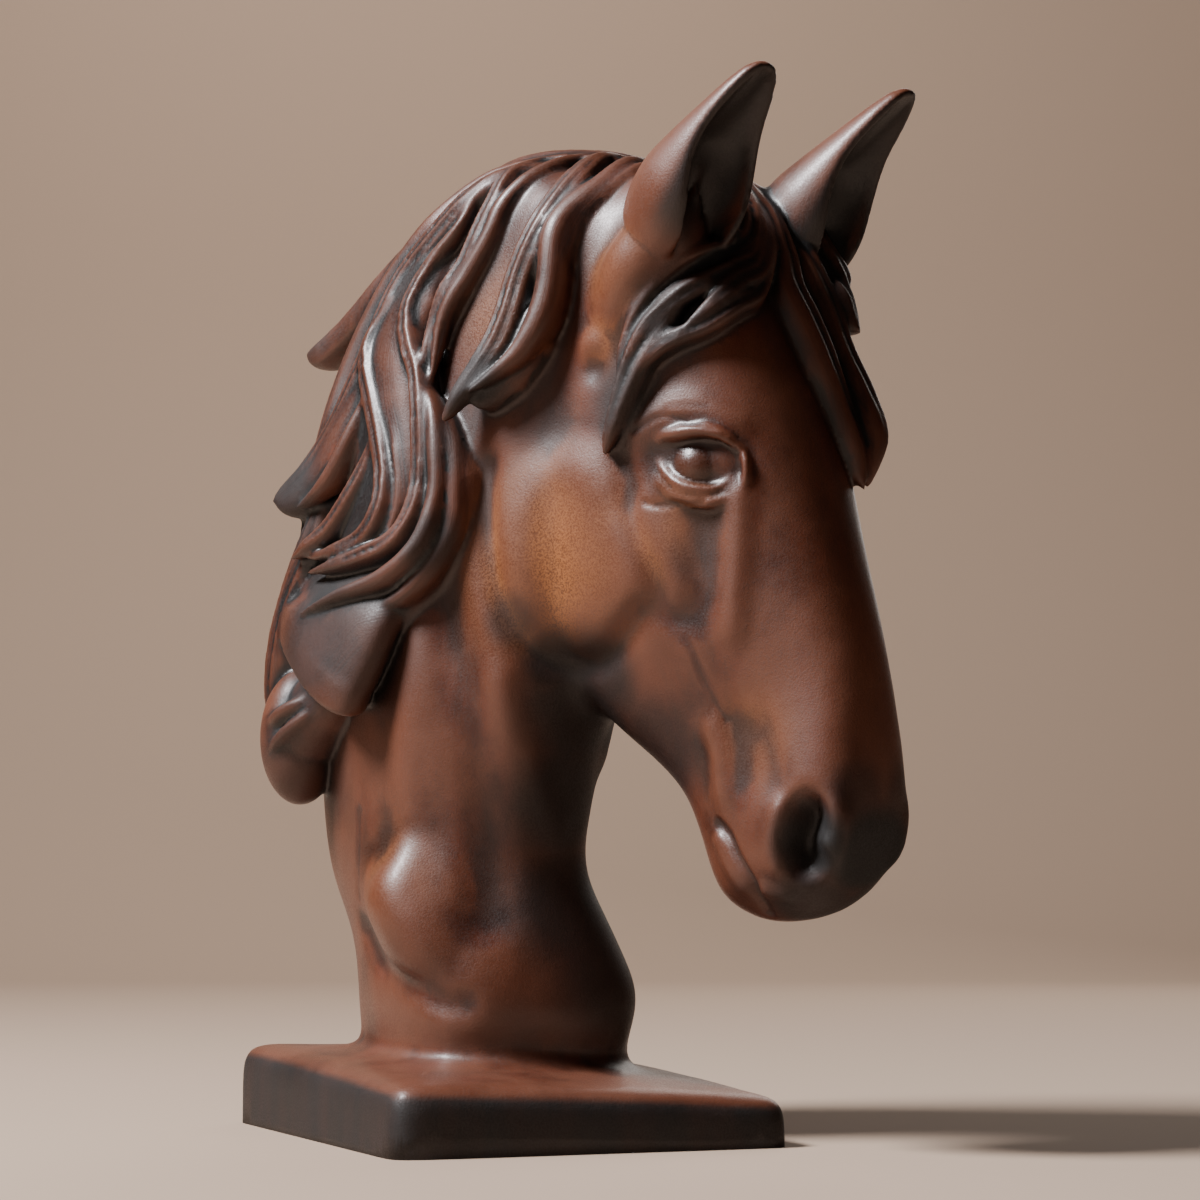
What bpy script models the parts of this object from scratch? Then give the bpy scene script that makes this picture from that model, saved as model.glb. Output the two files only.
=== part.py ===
"""Horse head bust, cast in one with its rectangular foot.

The tables are in millimetres. X runs forwards along the foot, Y to the horse's left, Z up, and the
origin is the centre of the foot's underside. The head is turned to the horse's left, and its tables are
in the head's own directions: forward, right, up.
"""

import math

import bmesh
import bpy
import numpy as np
from mathutils import kdtree

MILLIMETRE = 0.001

HEAD_TURN = 28.0
FOOT_LENGTH = 160.0
FOOT_WIDTH = 121.0
FOOT_HEIGHT = 20.0
FOOT_SLOPE_X = -0.032
FOOT_SLOPE_Y = -0.052
FOOT_CROWN = 6.0

BODY_VOXEL = 2.0
FINE_VOXEL = 1.2
HAIR_AROUND = 96
HAIR_ALONG = 96
CREASE = 2.2
LOCK_SQUARENESS = 0.85
MOST_TRIANGLES = 9400
# Places whose facets stay small: centre, in the head's directions, and reach.
FINE_PLACES = (((98, 30, 194), 17), ((131, 18, 87), 12), ((75, 38, 210), 13))
FINE_SHARE = 5
# Points this near the underside lie on it.
LEVEL = 0.2

# Rings of the neck, each cut from throat to crest: turn, shift to the right, throat forward and up,
# crest forward and up, then half widths from the throat to the crest.
NECK_RINGS = (
    (0, 3, 52, 4, -60, 4, 30, 38, 39, 35, 26),
    (0, 3, 51, 30, -58, 30, 28, 37, 39, 35, 25),
    (1, 3, 49, 44, -58, 44, 27, 37, 39, 33, 23),
    (3, 5, 45, 62, -59, 60, 21, 32, 36, 32, 20),
    (6, 9, 41, 81, -64, 80, 16, 29, 35, 33, 17),
    (9, 9, 42, 99, -67, 100, 16, 30, 37, 34, 16),
    (13, 9, 46, 116, -66, 128, 16, 31, 38, 34, 15),
    (18, 7, 52, 138, -63, 166, 16, 32, 38, 33, 13),
    (23, 4, 60, 168, -55, 210, 18, 33, 37, 30, 12),
    (26, 2, 66, 204, -41, 254, 20, 33, 36, 28, 12),
    (28, 0, 72, 232, -15, 284, 22, 33, 35, 28, 14),
    (28, 0, 80, 256, 20, 295, 22, 31, 33, 29, 18),
    (28, 0, 92, 262, 56, 290, 18, 24, 26, 24, 16),
)

# Rings of the head, each cut from the front of the face to the jaw, in the same way.
HEAD_RINGS = (
    (28, 0, 66, 294, 22, 270, 14, 22, 26, 24, 16),
    (28, 0, 87, 285, 12, 242, 18, 28, 31, 30, 20),
    (28, 0, 100, 264, 10, 214, 20, 31, 33, 31, 20),
    (28, 0, 111, 240, 12, 188, 20, 33, 34, 32, 20),
    (28, 0, 120, 214, 16, 165, 18, 32, 34, 32, 20),
    (28, 0, 126.5, 192, 26, 146, 16, 28, 32, 31, 20),
    (28, 0, 132, 172, 40, 131, 14, 24, 30, 28, 18),
    (28, 0, 137, 154, 54, 119, 13, 21, 26, 24, 15),
    (28, 0, 140.5, 138, 67, 109, 13, 19, 22, 20, 12),
    (28, 0, 142.5, 122, 76, 100, 14, 20, 21, 18, 11),
    (28, 0, 143.5, 106, 82, 88, 15, 22, 22, 18, 11),
    (28, 0, 142.5, 92, 86, 77, 16, 24, 23, 18, 11),
    (28, 0, 139.5, 80, 90, 69, 14, 21, 20, 16, 10),
    (28, 0, 132, 68, 100, 62, 8, 12, 12, 10, 6),
)


# Swellings of the skin: centre, reach and push.
SWELLINGS = (
    ((22, -38, 68), (26, 30, 26), (3, -9, 0)),
    ((12, 40, 44), (30, 26, 26), (1, 0.5, 0)),
)


# Locks of hair: points along the back of the lock from its root to its tip, in the head's directions,
# then half width, half thickness, ribs, the share of the length that narrows, and how sharp the tip is,
# 1 for a straight-sided point.
MANE = {
    "under_sweep": (((16, 18, 288), (-6, 26, 272), (-18, 30, 256), (-22, 35, 238), (-20, 39, 220),
                    (-16, 42, 202), (-18, 44, 186), (-28, 43, 172)), 19, 8, 1, 0.2, 0.5),
    "under_crest": (((26, 4, 298), (4, 6, 297), (-18, 10, 286), (-34, 13, 271), (-45, 16, 254),
                    (-53, 19, 236), (-58, 23, 216), (-60, 26, 196), (-62, 28, 176)),
                    13, 8, 4, 0.2, 0.5),
    "under_edge": (((10, 41, 214), (14, 44, 200), (13, 46, 186), (5, 48, 172), (-6, 48, 160),
                   (-16, 47, 150)), 11, 8, 1, 0.2, 0.5),
    "crest_cap": (((74, 0, 288), (60, 0, 292.5), (42, 0, 298), (22, 0, 300.5), (4, 0, 299),
                  (-12, 0, 293)), 10, 6, 3, 0.3, 0.6),
    "crest_sweep": (((42, -2, 296), (22, 20, 293), (9, 27, 286), (-5, 28, 276), (-17, 28, 266),
                    (-23, 30, 256), (-28, 33, 242), (-34, 34, 231), (-42, 34, 219), (-50, 34, 210),
                    (-59, 34, 202), (-68, 33, 196)), 7.5, 7, 4, 0.15, 0.5),
    "inner_sweep": (((14, 27, 286), (8, 31, 275), (-2, 33, 265), (-8, 36, 254), (-8, 38, 246),
                    (-4, 41, 238), (2, 44, 228), (6, 47, 214), (8, 49, 197), (7, 51, 187),
                    (0, 52.5, 178), (-14, 51.5, 174), (-30, 48, 172), (-44, 42, 171)),
                    4, 5, 2, 0.2, 0.7),
    "sunken_sweep": (((-6, 30, 258), (-14, 32, 247), (-16, 36, 236), (-13, 40, 222), (-7, 44, 206),
                     (-4, 46, 190), (-9, 47, 178), (-23, 46.5, 173)), 5, 4, 2, 0.3, 0.7),
    "dark_sweep": (((-18, 31, 256), (-27, 34, 244), (-26, 37, 234), (-20, 41, 223), (-14, 44, 211),
                   (-9, 47, 198), (-9, 49, 188), (-16, 49, 180), (-30, 46.5, 177), (-47, 39, 176)),
                   4.5, 6, 2, 0.25, 0.7),
    "outer_sweep": (((3, 42, 228), (10, 45, 218), (14, 48, 205), (16, 50, 191), (14, 53, 179),
                    (8, 55, 171), (-4, 55.5, 165.5), (-21, 54, 162), (-42, 47, 158)),
                    3.6, 6, 1, 0.3, 0.7),
    "edge_sweep": (((10, 42, 220), (17, 44, 207), (20, 46, 193), (20, 47, 181), (14, 50, 169),
                   (5, 52, 161), (-12, 51.5, 156)), 4, 7, 1, 0.3, 0.6),
    "curl_back_left": (((28, -2, 297.5), (25, 12, 296.5), (22, 24, 291), (21, 31, 281), (18, 34, 272),
                       (14, 36, 262), (8, 38, 254), (5, 39, 245), (4, 41, 236), (5, 42, 227)),
                       3.8, 5, 2, 0.4, 0.8),
    "curl_back_right": (((44, -2, 296), (39, 13, 295), (33, 25, 289), (27, 32, 280), (23, 35, 269),
                        (17, 37, 259), (12, 39, 251), (9, 40, 243), (8, 41, 232), (8, 42, 224)),
                        3.4, 5, 1, 0.4, 0.8),
    "curl_front_left": (((50, -4, 294), (51, 12, 294.5), (51, 25, 287), (48, 35, 275), (44, 39, 265),
                        (40, 41, 254), (38, 43, 244), (35, 45, 235), (30, 47, 227), (24, 49, 219),
                        (19, 49, 211)), 6, 7, 3, 0.3, 0.6),
    "curl_front_right": (((62, -4, 290), (60.5, 12, 291.5), (59, 26, 282), (54, 35, 273), (52, 39, 265),
                         (52, 41, 251), (50, 43, 240), (45, 45, 231), (38, 47, 225), (29, 49, 219)),
                         5, 7, 1, 0.35, 0.7),
    "curl_front_edge": (((70, -2, 287), (66, 12, 289), (62, 25, 280), (57, 32, 271), (54, 36, 258),
                        (53, 38, 245), (49, 40, 237), (42, 43, 230)), 3, 4, 1, 0.4, 0.8),
    "curl_front_under": (((50, 38, 246), (43, 41, 233), (35, 43, 224), (27, 44, 216)),
                         8, 9, 1, 0.4, 0.5),
    "low_flip": (((-26, 35, 232), (-38, 36, 217), (-48, 35, 207), (-58, 34, 201), (-67, 33, 197)),
                 11, 7, 1, 0.3, 0.45),
    "flip_rib": (((-20, 37, 230), (-28, 41, 214), (-34, 42, 204), (-42, 41, 197), (-53, 38, 192)),
                 3.2, 5, 1, 0.4, 0.7),
    "flip_rib_low": (((-12, 41, 218), (-20, 43, 203), (-27, 44, 193), (-36, 43, 185), (-46, 42, 180),
                     (-54, 39, 176)), 4, 5, 2, 0.4, 0.7),
    "back_fall": (((-42, 34, 204), (-52, 34.8, 186), (-61.5, 34.2, 170), (-67.5, 34.2, 154),
                  (-69.7, 34, 138), (-67.7, 34, 122)), 10, 12, 4, 0.3, 0.5),
    "hanging_lock": (((-20, 34, 197), (-25, 37.5, 185), (-30, 42, 171), (-35, 47.5, 158), (-40, 49, 148.5),
                     (-44, 47.8, 141)), 35, 10, 1, 0.08, 0.12),
    "lowest_lock": (((-30, 46, 146), (-38, 46, 136), (-46, 45.5, 129), (-53, 43.5, 123),
                    (-58, 41, 117)), 12, 10, 1, 0.3, 0.5),
    "lowest_rib": (((-36, 46, 133), (-43, 48.3, 130.5), (-51, 48, 127.5), (-57.5, 44.6, 124),
                   (-62, 39, 120)), 2.4, 3.2, 1, 0.5, 0.8),
    "lowest_rib_low": (((-33, 46, 130), (-40, 48.3, 126), (-48, 48.6, 121.5), (-55, 46, 117),
                       (-60, 40, 113)), 2.4, 3.2, 1, 0.5, 0.8),
    "crest_strand": (((70, 7, 288), (56, 8, 292), (40, 8, 296), (24, 9, 297.5), (8, 10, 296),
                     (-8, 12, 290), (-20, 14, 281)), 4, 4.5, 2, 0.4, 0.8),
}
# The round end of the lowest lock, and its half sizes forward, right and up.
LOWEST_LOBE = (-53, 34, 121)
LOWEST_LOBE_SIZE = (13, 12, 21)
HIGH_FLIP = (((-6, 6, 291), (-26, 8, 281), (-42, 9, 270), (-56, 8, 260), (-68, 7, 253), (-79, 6, 248)),
             8, 6, 3, 0.15, 0.5)
FORELOCKS = {
    "near_back": (((84, -8, 287), (98, 2, 276), (106, 12, 262), (102, 24, 255), (97, 31, 250),
                  (91, 35, 244), (84, 37.5, 236), (79, 38.5, 228), (76.5, 38, 221)), 5, 6, 2, 0.4, 0.8),
    "near_middle": (((86, -8, 286), (102, 2, 272), (109, 11, 257), (108, 20, 252), (104, 28, 247),
                    (98, 34, 242), (88, 38.3, 234), (82, 39.5, 226), (78.5, 39.5, 219)),
                    4, 5, 2, 0.4, 0.8),
    "near_front": (((88, -8, 284), (104, 1, 268), (111, 12, 253), (110, 21, 248), (108, 27, 243),
                   (103, 32, 237), (97, 35, 231)), 4, 5, 2, 0.4, 0.8),
    "near_under": (((104, 28, 247), (97, 33.5, 242), (90, 37, 234), (83.5, 39.3, 224), (78, 39.8, 213),
                   (74, 39, 204), (71.5, 37, 197.5)), 5.5, 6, 2, 0.45, 0.7),
    "near_edge": (((92, -8, 281), (107, 2, 262), (112, 14, 246), (110, 24, 240), (104, 31, 234),
                  (95, 36, 230), (88, 38, 225), (83, 38.5, 218), (79, 38.5, 210)), 3.4, 5, 2, 0.4, 0.8),
    "far_left": (((88, -10, 285), (100, -9, 273), (108, -5, 261), (113, -2, 250), (118, -3, 240),
                 (122, -6, 228), (125, -10, 214), (128, -13, 200), (128, -13, 188)),
                 7, 9, 2, 0.35, 0.7),
    "far_right": (((86, -14, 285), (99, -16, 273), (108, -18, 260), (114, -20, 246), (119, -21, 232),
                  (125, -23, 218), (130, -22, 204), (127, -16, 189)), 8, 13, 3, 0.3, 0.6),
    "far_short": (((82, -16, 287), (94, -20, 279), (103, -24, 269), (109, -27, 259), (114, -28, 248),
                  (117, -27, 237)), 8, 10, 3, 0.25, 0.45),
    "far_side": (((74, -18, 288), (84, -27, 278), (92, -32, 266), (98, -35, 252), (101, -36, 236)),
                 8, 6, 3, 0.4, 0.7),
}

EAR_ROOT = (84, 27, 257)
NEAR_EAR_TIP = (129, 33, 304)
FAR_EAR_TIP = (133, 32, 308)
EAR_OPENS = (0.6, 0.08, -0.79)
EAR_WALL = 1.7
# How far round its middle each edge of the ear reaches, in degrees, at its tip and at its root.
EAR_ARC = 96
EAR_ROOT_ARC = 145
EAR_HOLLOW_FROM = 0.22  # shares of the ear's length from its root
EAR_HOLLOW_RUN = 0.35
EAR_OPENING_FROM = 0.15
EAR_OPENING_RUN = 0.6
EAR_EDGE_POWER = 8  # how squarely the wall ends at the ear's edges
# How much of the ear's depth is solid, in its hollow and at its root.
EAR_FILL = 0.35
EAR_ROOT_FILL = 1.25
# Half width and depth of the ear from its root to its tip.
EAR_SIZES = ((11, 13), (13.5, 16), (14.5, 16), (13, 13), (10.5, 9.5), (7.5, 6), (3.5, 2.4))

# Modelling strokes on both sides of the face and neck, by the forward and up of points on the skin,
# with their reach, their height above the skin, or depth below it where it is negative, and how soft
# the edge is, 1 for all slope.
STROKES = {
    "cheek": (((54, 182), (52, 170), (57, 164), (64, 166)), 27, 3.2, 0.6),
    "jaw_edge": (((29, 200), (29, 188), (32, 170), (37, 153), (43, 142), (52, 137), (62, 138),
                 (71, 144), (81, 152)), 6, -2.4, 1),
    "eye_socket": (((90, 197), (98, 193), (108, 194)), 11, -1.4, 1),
    "brow": (((82, 205), (92, 210), (102, 211), (111, 206)), 8, 1.8, 1),
    "facial_crest": (((113, 186), (112, 172), (111, 160), (109, 146)), 7, 2.0, 1),
    "crest_hollow": (((102, 177), (102, 167), (101, 157), (97, 151)), 9, -1.7, 1),
    "tear_groove": (((77, 199), (79, 188), (82, 177), (85, 168), (88, 157)), 5, -1.5, 1),
    "tear_ridge": (((86, 184), (90, 172), (94, 158)), 7, 1.0, 1),
    "crest_pit": (((86, 152), (92, 151)), 6, -1.2, 1),
    "temple": (((63, 232),), 8, 2.5, 1),
    "temple_pit": (((65, 223),), 6, -2.6, 1),
    "ear_base": (((74, 248), (72, 240)), 16, 2.0, 1),
    "bar_hollow": (((108, 120), (108, 106)), 7, -1.2, 1),
    "lit_bar": (((98, 118), (99, 109), (99, 100)), 6, 2.4, 1),
    "nostril": (((133, 95), (131, 90), (129.5, 85), (130, 80)), 7.5, -11.0, 0.6),
    "nostril_wing": (((140, 98), (141, 90), (139, 82)), 5, 1.8, 1),
    "nostril_rim": (((121, 98), (119, 88), (121, 78)), 5, 1.4, 1),
    "nose_hollow": (((116, 118), (119, 104)), 8, -1.0, 1),
    "neck_band": (((12, 176), (8, 150), (5, 125), (2, 100), (0, 80)), 13, 2.4, 1),
    "neck_groove": (((14, 165), (21, 143), (27, 118), (27, 90), (29, 68)), 13, -2.4, 1),
    "throat_band": (((33, 134), (37, 112), (38, 92), (40, 76)), 9, 1.6, 1),
    "shoulder": (((-17, 74), (-6, 70), (5, 64), (13, 55)), 15, 3.0, 1),
    "shoulder_edge": (((-32, 62), (-23, 56), (-9, 50), (6, 45), (17, 42), (27, 40)), 6, -2.4, 1),
    "lip_groove": (((94, 145), (97, 139), (99, 132), (102, 126), (105, 120)), 2.2, -0.35, 1),
    "mouth": (((96, 91), (100, 88), (103, 83), (107, 77), (109, 72), (109, 68), (108, 65)), 3, -1.6, 1),
    "lower_lip": (((95, 86), (99, 79), (103, 73)), 4, 0.8, 1),
    "lip_bulge": (((114, 72), (120, 71)), 4.9, 1.6, 1),
    "lid_crease": (((83, 203), (89, 206), (96, 207), (103, 207), (108, 205)), 1.8, -0.5, 1),
    "under_eye_crease": (((85, 186), (92, 182), (99, 180), (104, 181)), 1.8, -0.6, 1),
    "brow_crease": (((93, 212), (99, 213), (105, 212)), 1.5, -0.25, 1),
    "neck_line": (((-25, 96), (-27, 83), (-31, 70)), 2.5, -0.5, 1),
}

EYE = (96.5, 22.5, 194)
EYE_RADIUS = 9.2
# The lids' flesh round each eyeball, as half sizes forward, right and up.
EYE_PAD = (97, 21.5, 195)
EYE_PAD_SIZE = (15, 7.5, 11.5)
# Round folds of the lids: points along the middle, then radius.
LIDS = {
    "upper_lid": (((82, 30, 200), (89, 31.5, 202.5), (96, 32, 203), (103, 30.5, 203.3),
                  (108, 28, 201.5), (112, 25, 197.5)), 2.2),
    "lower_lid": (((85, 30.5, 199.5), (87.5, 30.8, 195), (92, 31.5, 190.5), (96.5, 31.5, 187.8),
                  (101, 30, 186.7), (105.5, 27.5, 187), (110, 25, 191)), 1.5),
    "lower_fold": (((82, 29.5, 198.5), (85, 30.5, 193), (90, 31, 187.7), (96, 30.5, 184.3),
                   (102, 29, 182.8), (107.5, 26.5, 184), (112, 24, 189)), 1.8),
    "corner_fold": (((111, 24.5, 200), (113, 24.5, 195), (113.5, 24.5, 191), (113, 25, 186)), 1.4),
}
# Places where one form melts into the next: centre and reach, then passes of smoothing and their
# weight.
MELTED = (((72, 38, 250), 15), ((101, 33, 264), 8))
MELTING = (50, 0.6)
# The thick root of each ear: points along the middle, then radius.
EAR_ROOT_FORM = (((64, 23, 232), (77, 27, 248), (88, 29, 260), (98, 30, 271)), 13.5)


def turned(points, degrees):
    """Points given as forward, right, up, turned to the horse's left."""
    points = np.asarray(points, float)
    angle = np.radians(degrees)
    forward, right = points[..., 0], points[..., 1]
    x = forward * np.cos(angle) + right * np.sin(angle)
    y = forward * np.sin(angle) - right * np.cos(angle)
    return np.stack([x, y, points[..., 2] + 0 * x], axis=-1)


def spline(rows, t):
    """Rows read at t, from 0 to 1, on a smooth curve through all of them."""
    rows = np.asarray(rows, float)
    last = len(rows) - 1
    place = np.clip(np.asarray(t, float) * last, 0, last - 1e-9)
    i = place.astype(int)
    f = (place - i)[:, None]
    before = rows[np.maximum(i - 1, 0)]
    start = rows[i]
    end = rows[i + 1]
    after = rows[np.minimum(i + 2, last)]
    return 0.5 * (
        2 * start
        + (end - before) * f
        + (2 * before - 5 * start + 4 * end - after) * f**2
        + (3 * start - before - 3 * end + after) * f**3
    )


def ball(around, along):
    """A sphere mesh, with each vertex's place along its axis, 0 to 1, and around it, 0 to 1."""
    bm = bmesh.new()
    bmesh.ops.create_uvsphere(bm, u_segments=around, v_segments=along, radius=1)
    co = np.array([v.co for v in bm.verts])
    t = np.arccos(np.clip(-co[:, 2], -1, 1)) / math.pi
    turn = (np.arctan2(co[:, 1], co[:, 0]) / math.tau) % 1.0
    return bm, t, turn


def placed(bm, co):
    for vert, point in zip(bm.verts, co):
        vert.co = point
    bmesh.ops.recalc_face_normals(bm, faces=bm.faces)
    return bm


def ring_loft(rings, around=72, along=90):
    """A closed body through the rings, each a rounded outline from its front edge to its back edge."""
    bm, t, turn = ball(around, along)
    rows = spline(rings, t)
    yaw, shift = rows[:, 0], rows[:, 1]
    front, back = rows[:, 2:4], rows[:, 4:6]
    widths = rows[:, 6:11]
    across = np.concatenate([widths, -widths[:, ::-1]], axis=1)
    deep = np.array([0, 0.18, 0.45, 0.76, 1.0])
    deep = np.concatenate([deep, deep[::-1]])
    count = len(deep)
    place = turn * count
    i = np.floor(place).astype(int)
    f = place - i
    weights = ((1 - f) ** 3, 3 * f**3 - 6 * f**2 + 4, -3 * f**3 + 3 * f**2 + 3 * f + 1, f**3)
    side = np.zeros(len(t))
    depth = np.zeros(len(t))
    rows_at = np.arange(len(t))
    for step, weight in zip((-1, 0, 1, 2), weights):
        pick = (i + step) % count
        side += weight / 6 * across[rows_at, pick]
        depth += weight / 6 * deep[pick]
    closing = (1 - np.abs(2 * t - 1) ** 9) ** (1 / 3)
    depth = 0.5 + (depth - 0.5) * closing
    side = side * closing
    forward_up = front + (back - front) * depth[:, None]
    angle = np.radians(yaw)
    right = side + shift
    x = forward_up[:, 0] * np.cos(angle) + right * np.sin(angle)
    y = forward_up[:, 0] * np.sin(angle) - right * np.cos(angle)
    return placed(bm, np.stack([x, y, forward_up[:, 1]], axis=1))


def lump(centre, radii, tilt=(0, 0, 0)):
    """An egg shape."""
    bm = bmesh.new()
    bmesh.ops.create_icosphere(bm, subdivisions=4, radius=1)
    co = np.array([v.co for v in bm.verts]) * radii
    for axis, degrees in enumerate(tilt):
        a, b = [(1, 2), (2, 0), (0, 1)][axis]
        angle = math.radians(degrees)
        pa, pb = co[:, a].copy(), co[:, b].copy()
        co[:, a] = pa * math.cos(angle) - pb * math.sin(angle)
        co[:, b] = pa * math.sin(angle) + pb * math.cos(angle)
    return placed(bm, co + np.asarray(centre, float))


def foot():
    """The rectangular foot, with round edges and a crowned top that slopes a little."""
    bm = bmesh.new()
    bmesh.ops.create_cube(bm, size=1)
    reach = 12.0
    for v in bm.verts:
        v.co.x *= FOOT_LENGTH
        v.co.y *= FOOT_WIDTH
        v.co.z = FOOT_HEIGHT if v.co.z > 0 else -reach
    upright = [e for e in bm.edges if abs(e.verts[0].co.z - e.verts[1].co.z) > 1]
    bmesh.ops.bevel(bm, geom=upright, offset=5, segments=6, affect="EDGES", profile=0.5, material=-1)
    top = [e for e in bm.edges if min(v.co.z for v in e.verts) > FOOT_HEIGHT - 1 and len(e.link_faces) == 2
           and any(f.normal.z < 0.5 for f in e.link_faces)]
    bmesh.ops.bevel(bm, geom=top, offset=5, segments=6, affect="EDGES", profile=0.5, material=-1)
    bmesh.ops.triangulate(bm, faces=[f for f in bm.faces if len(f.verts) > 4])
    bmesh.ops.subdivide_edges(bm, edges=bm.edges[:], cuts=3, use_grid_fill=True)
    for v in bm.verts:
        across_x = 1 - (2 * v.co.x / FOOT_LENGTH) ** 2
        across_y = 1 - (2 * v.co.y / FOOT_WIDTH) ** 2
        crown = FOOT_CROWN * max(across_x, 0) * max(across_y, 0)
        lift = FOOT_SLOPE_X * v.co.x + FOOT_SLOPE_Y * v.co.y + crown
        share = max(0.0, v.co.z / FOOT_HEIGHT)
        v.co.z += lift * share
    return bm


def merged(parts, name):
    mesh = bpy.data.meshes.new(name)
    whole = bmesh.new()
    for part in parts:
        piece = bpy.data.meshes.new(name + "_piece")
        part.to_mesh(piece)
        part.free()
        whole.from_mesh(piece)
        bpy.data.meshes.remove(piece)
    whole.to_mesh(mesh)
    whole.free()
    obj = bpy.data.objects.new(name, mesh)
    bpy.context.scene.collection.objects.link(obj)
    return obj


def with_modifier(obj, kind, **settings):
    """The object's mesh as the modifier leaves it."""
    modifier = obj.modifiers.new(kind.title(), kind)
    for key, value in settings.items():
        setattr(modifier, key, value)
    bpy.context.view_layer.update()
    graph = bpy.context.evaluated_depsgraph_get()
    mesh = bpy.data.meshes.new_from_object(obj.evaluated_get(graph))
    obj.modifiers.remove(modifier)
    old = obj.data
    obj.data = mesh
    bpy.data.meshes.remove(old)
    return mesh


def coordinates(mesh):
    co = np.empty(len(mesh.vertices) * 3)
    mesh.vertices.foreach_get("co", co)
    return co.reshape(-1, 3)


def set_coordinates(mesh, co):
    mesh.vertices.foreach_set("co", co.ravel())
    mesh.update()


def smoothed(mesh, co, times, weight=0.5):
    ends = np.empty(len(mesh.edges) * 2, int)
    mesh.edges.foreach_get("vertices", ends)
    a, b = ends.reshape(-1, 2).T
    count = np.bincount(ends, minlength=len(co)).astype(float)
    for _ in range(times):
        mean = np.empty_like(co)
        for axis in range(3):
            total = np.bincount(a, co[b, axis], len(co)) + np.bincount(b, co[a, axis], len(co))
            mean[:, axis] = total / count
        co = co + (mean - co) * np.reshape(weight, (-1, 1))
    return co


def body():
    """Foot, neck and head as one smooth skin."""
    parts = [
        foot(),
        ring_loft(NECK_RINGS),
        ring_loft(HEAD_RINGS),
    ]
    for hand in (1, -1):
        points, radius = EAR_ROOT_FORM
        parts.append(rod(np.array(points) * (1, hand, 1), radius))
    skin = merged(parts, "horse_head_bust")
    mesh = with_modifier(skin, "REMESH", mode="VOXEL", voxel_size=BODY_VOXEL)
    co = smoothed(mesh, coordinates(mesh), 12)
    for centre, reach, push in SWELLINGS:
        near = np.linalg.norm((co - centre) / reach, axis=1)
        co = co + np.clip(1 - near**2, 0, 1)[:, None] ** 2 * push
    co = stroked(mesh, smoothed(mesh, co, 3), [k for k in STROKES if STROKES[k][1] >= 5])
    set_coordinates(mesh, smoothed(mesh, co, 4))
    return skin


def clear_scene():
    for obj in list(bpy.data.objects):
        bpy.data.objects.remove(obj, do_unlink=True)


def squared(wave):
    return np.sign(wave) * np.abs(wave) ** LOCK_SQUARENESS


def lock(skin, points, half_width, thickness, ribs, narrowing, point):
    """A lock of hair under a line of points, round-backed, creased between ribs, narrowing to a tip."""
    bm, t, turn = ball(HAIR_AROUND, HAIR_ALONG)
    points = turned(points, HEAD_TURN)
    step = 1e-3
    path = spline(points, t)
    ahead = spline(points, t + step) - spline(points, t - step)
    ahead /= np.linalg.norm(ahead, axis=1)[:, None]
    stations = np.linspace(0, 1, 16)
    outward = spline([skin.outward(p) for p in spline(points, stations)], t)
    side = np.cross(ahead, outward)
    side /= np.linalg.norm(side, axis=1)[:, None]
    outward = np.cross(side, ahead)
    across = squared(np.cos(turn * math.tau))
    out = squared(np.sin(turn * math.tau))
    root = np.clip(t / 0.25, 0, 1) ** 0.6
    tip = np.clip((1 - t) / narrowing, 0, 1) ** point
    taper = root * tip
    wide = half_width * taper
    thick = thickness * taper
    crease = 1 - np.abs(np.sin(math.pi * ribs * (across + 1) / 2)) ** 0.7
    depth = np.where(out > 0, crease * min(CREASE, 1.6 * half_width / ribs) * (ribs > 1), 0)
    raised = (out - 1) * thick - depth * np.minimum(taper, 1)
    co = path + side * (across * wide)[:, None] + outward * raised[:, None]
    return placed(bm, co)


class Skin:
    """The smooth skin under the hair, to find which way is out."""

    def __init__(self, mesh):
        self.normals = np.empty(len(mesh.vertices) * 3)
        mesh.vertex_normals.foreach_get("vector", self.normals)
        self.normals = self.normals.reshape(-1, 3)
        self.co = coordinates(mesh)
        self.tree = kdtree.KDTree(len(self.co))
        for i, p in enumerate(self.co):
            self.tree.insert(p, i)
        self.tree.balance()

    def outward(self, point):
        near = [i for _, i, _ in self.tree.find_n(point, 40)]
        normal = self.normals[near].mean(axis=0)
        return normal / np.linalg.norm(normal)

    def mirrored(self, points):
        """Points moved to the other side, as far from the skin as they were."""
        moved = []
        for p in np.asarray(points, float):
            here = turned(p, HEAD_TURN)
            spot, i, _ = self.tree.find(here)
            lift = np.dot(here - np.array(spot), self.normals[i])
            across = turned(p * (1, -1, 1), HEAD_TURN)
            spot, i, _ = self.tree.find(across)
            there = np.array(spot) + self.normals[i] * lift
            moved.append(unturned(there))
        return moved


def unturned(point):
    angle = math.radians(HEAD_TURN)
    x, y, z = point
    return (x * math.cos(angle) + y * math.sin(angle), x * math.sin(angle) - y * math.cos(angle), z)


def eased(share):
    """0 to 1 with a soft start and end."""
    share = np.clip(share, 0, 1)
    return share**2 * (3 - 2 * share)


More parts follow.
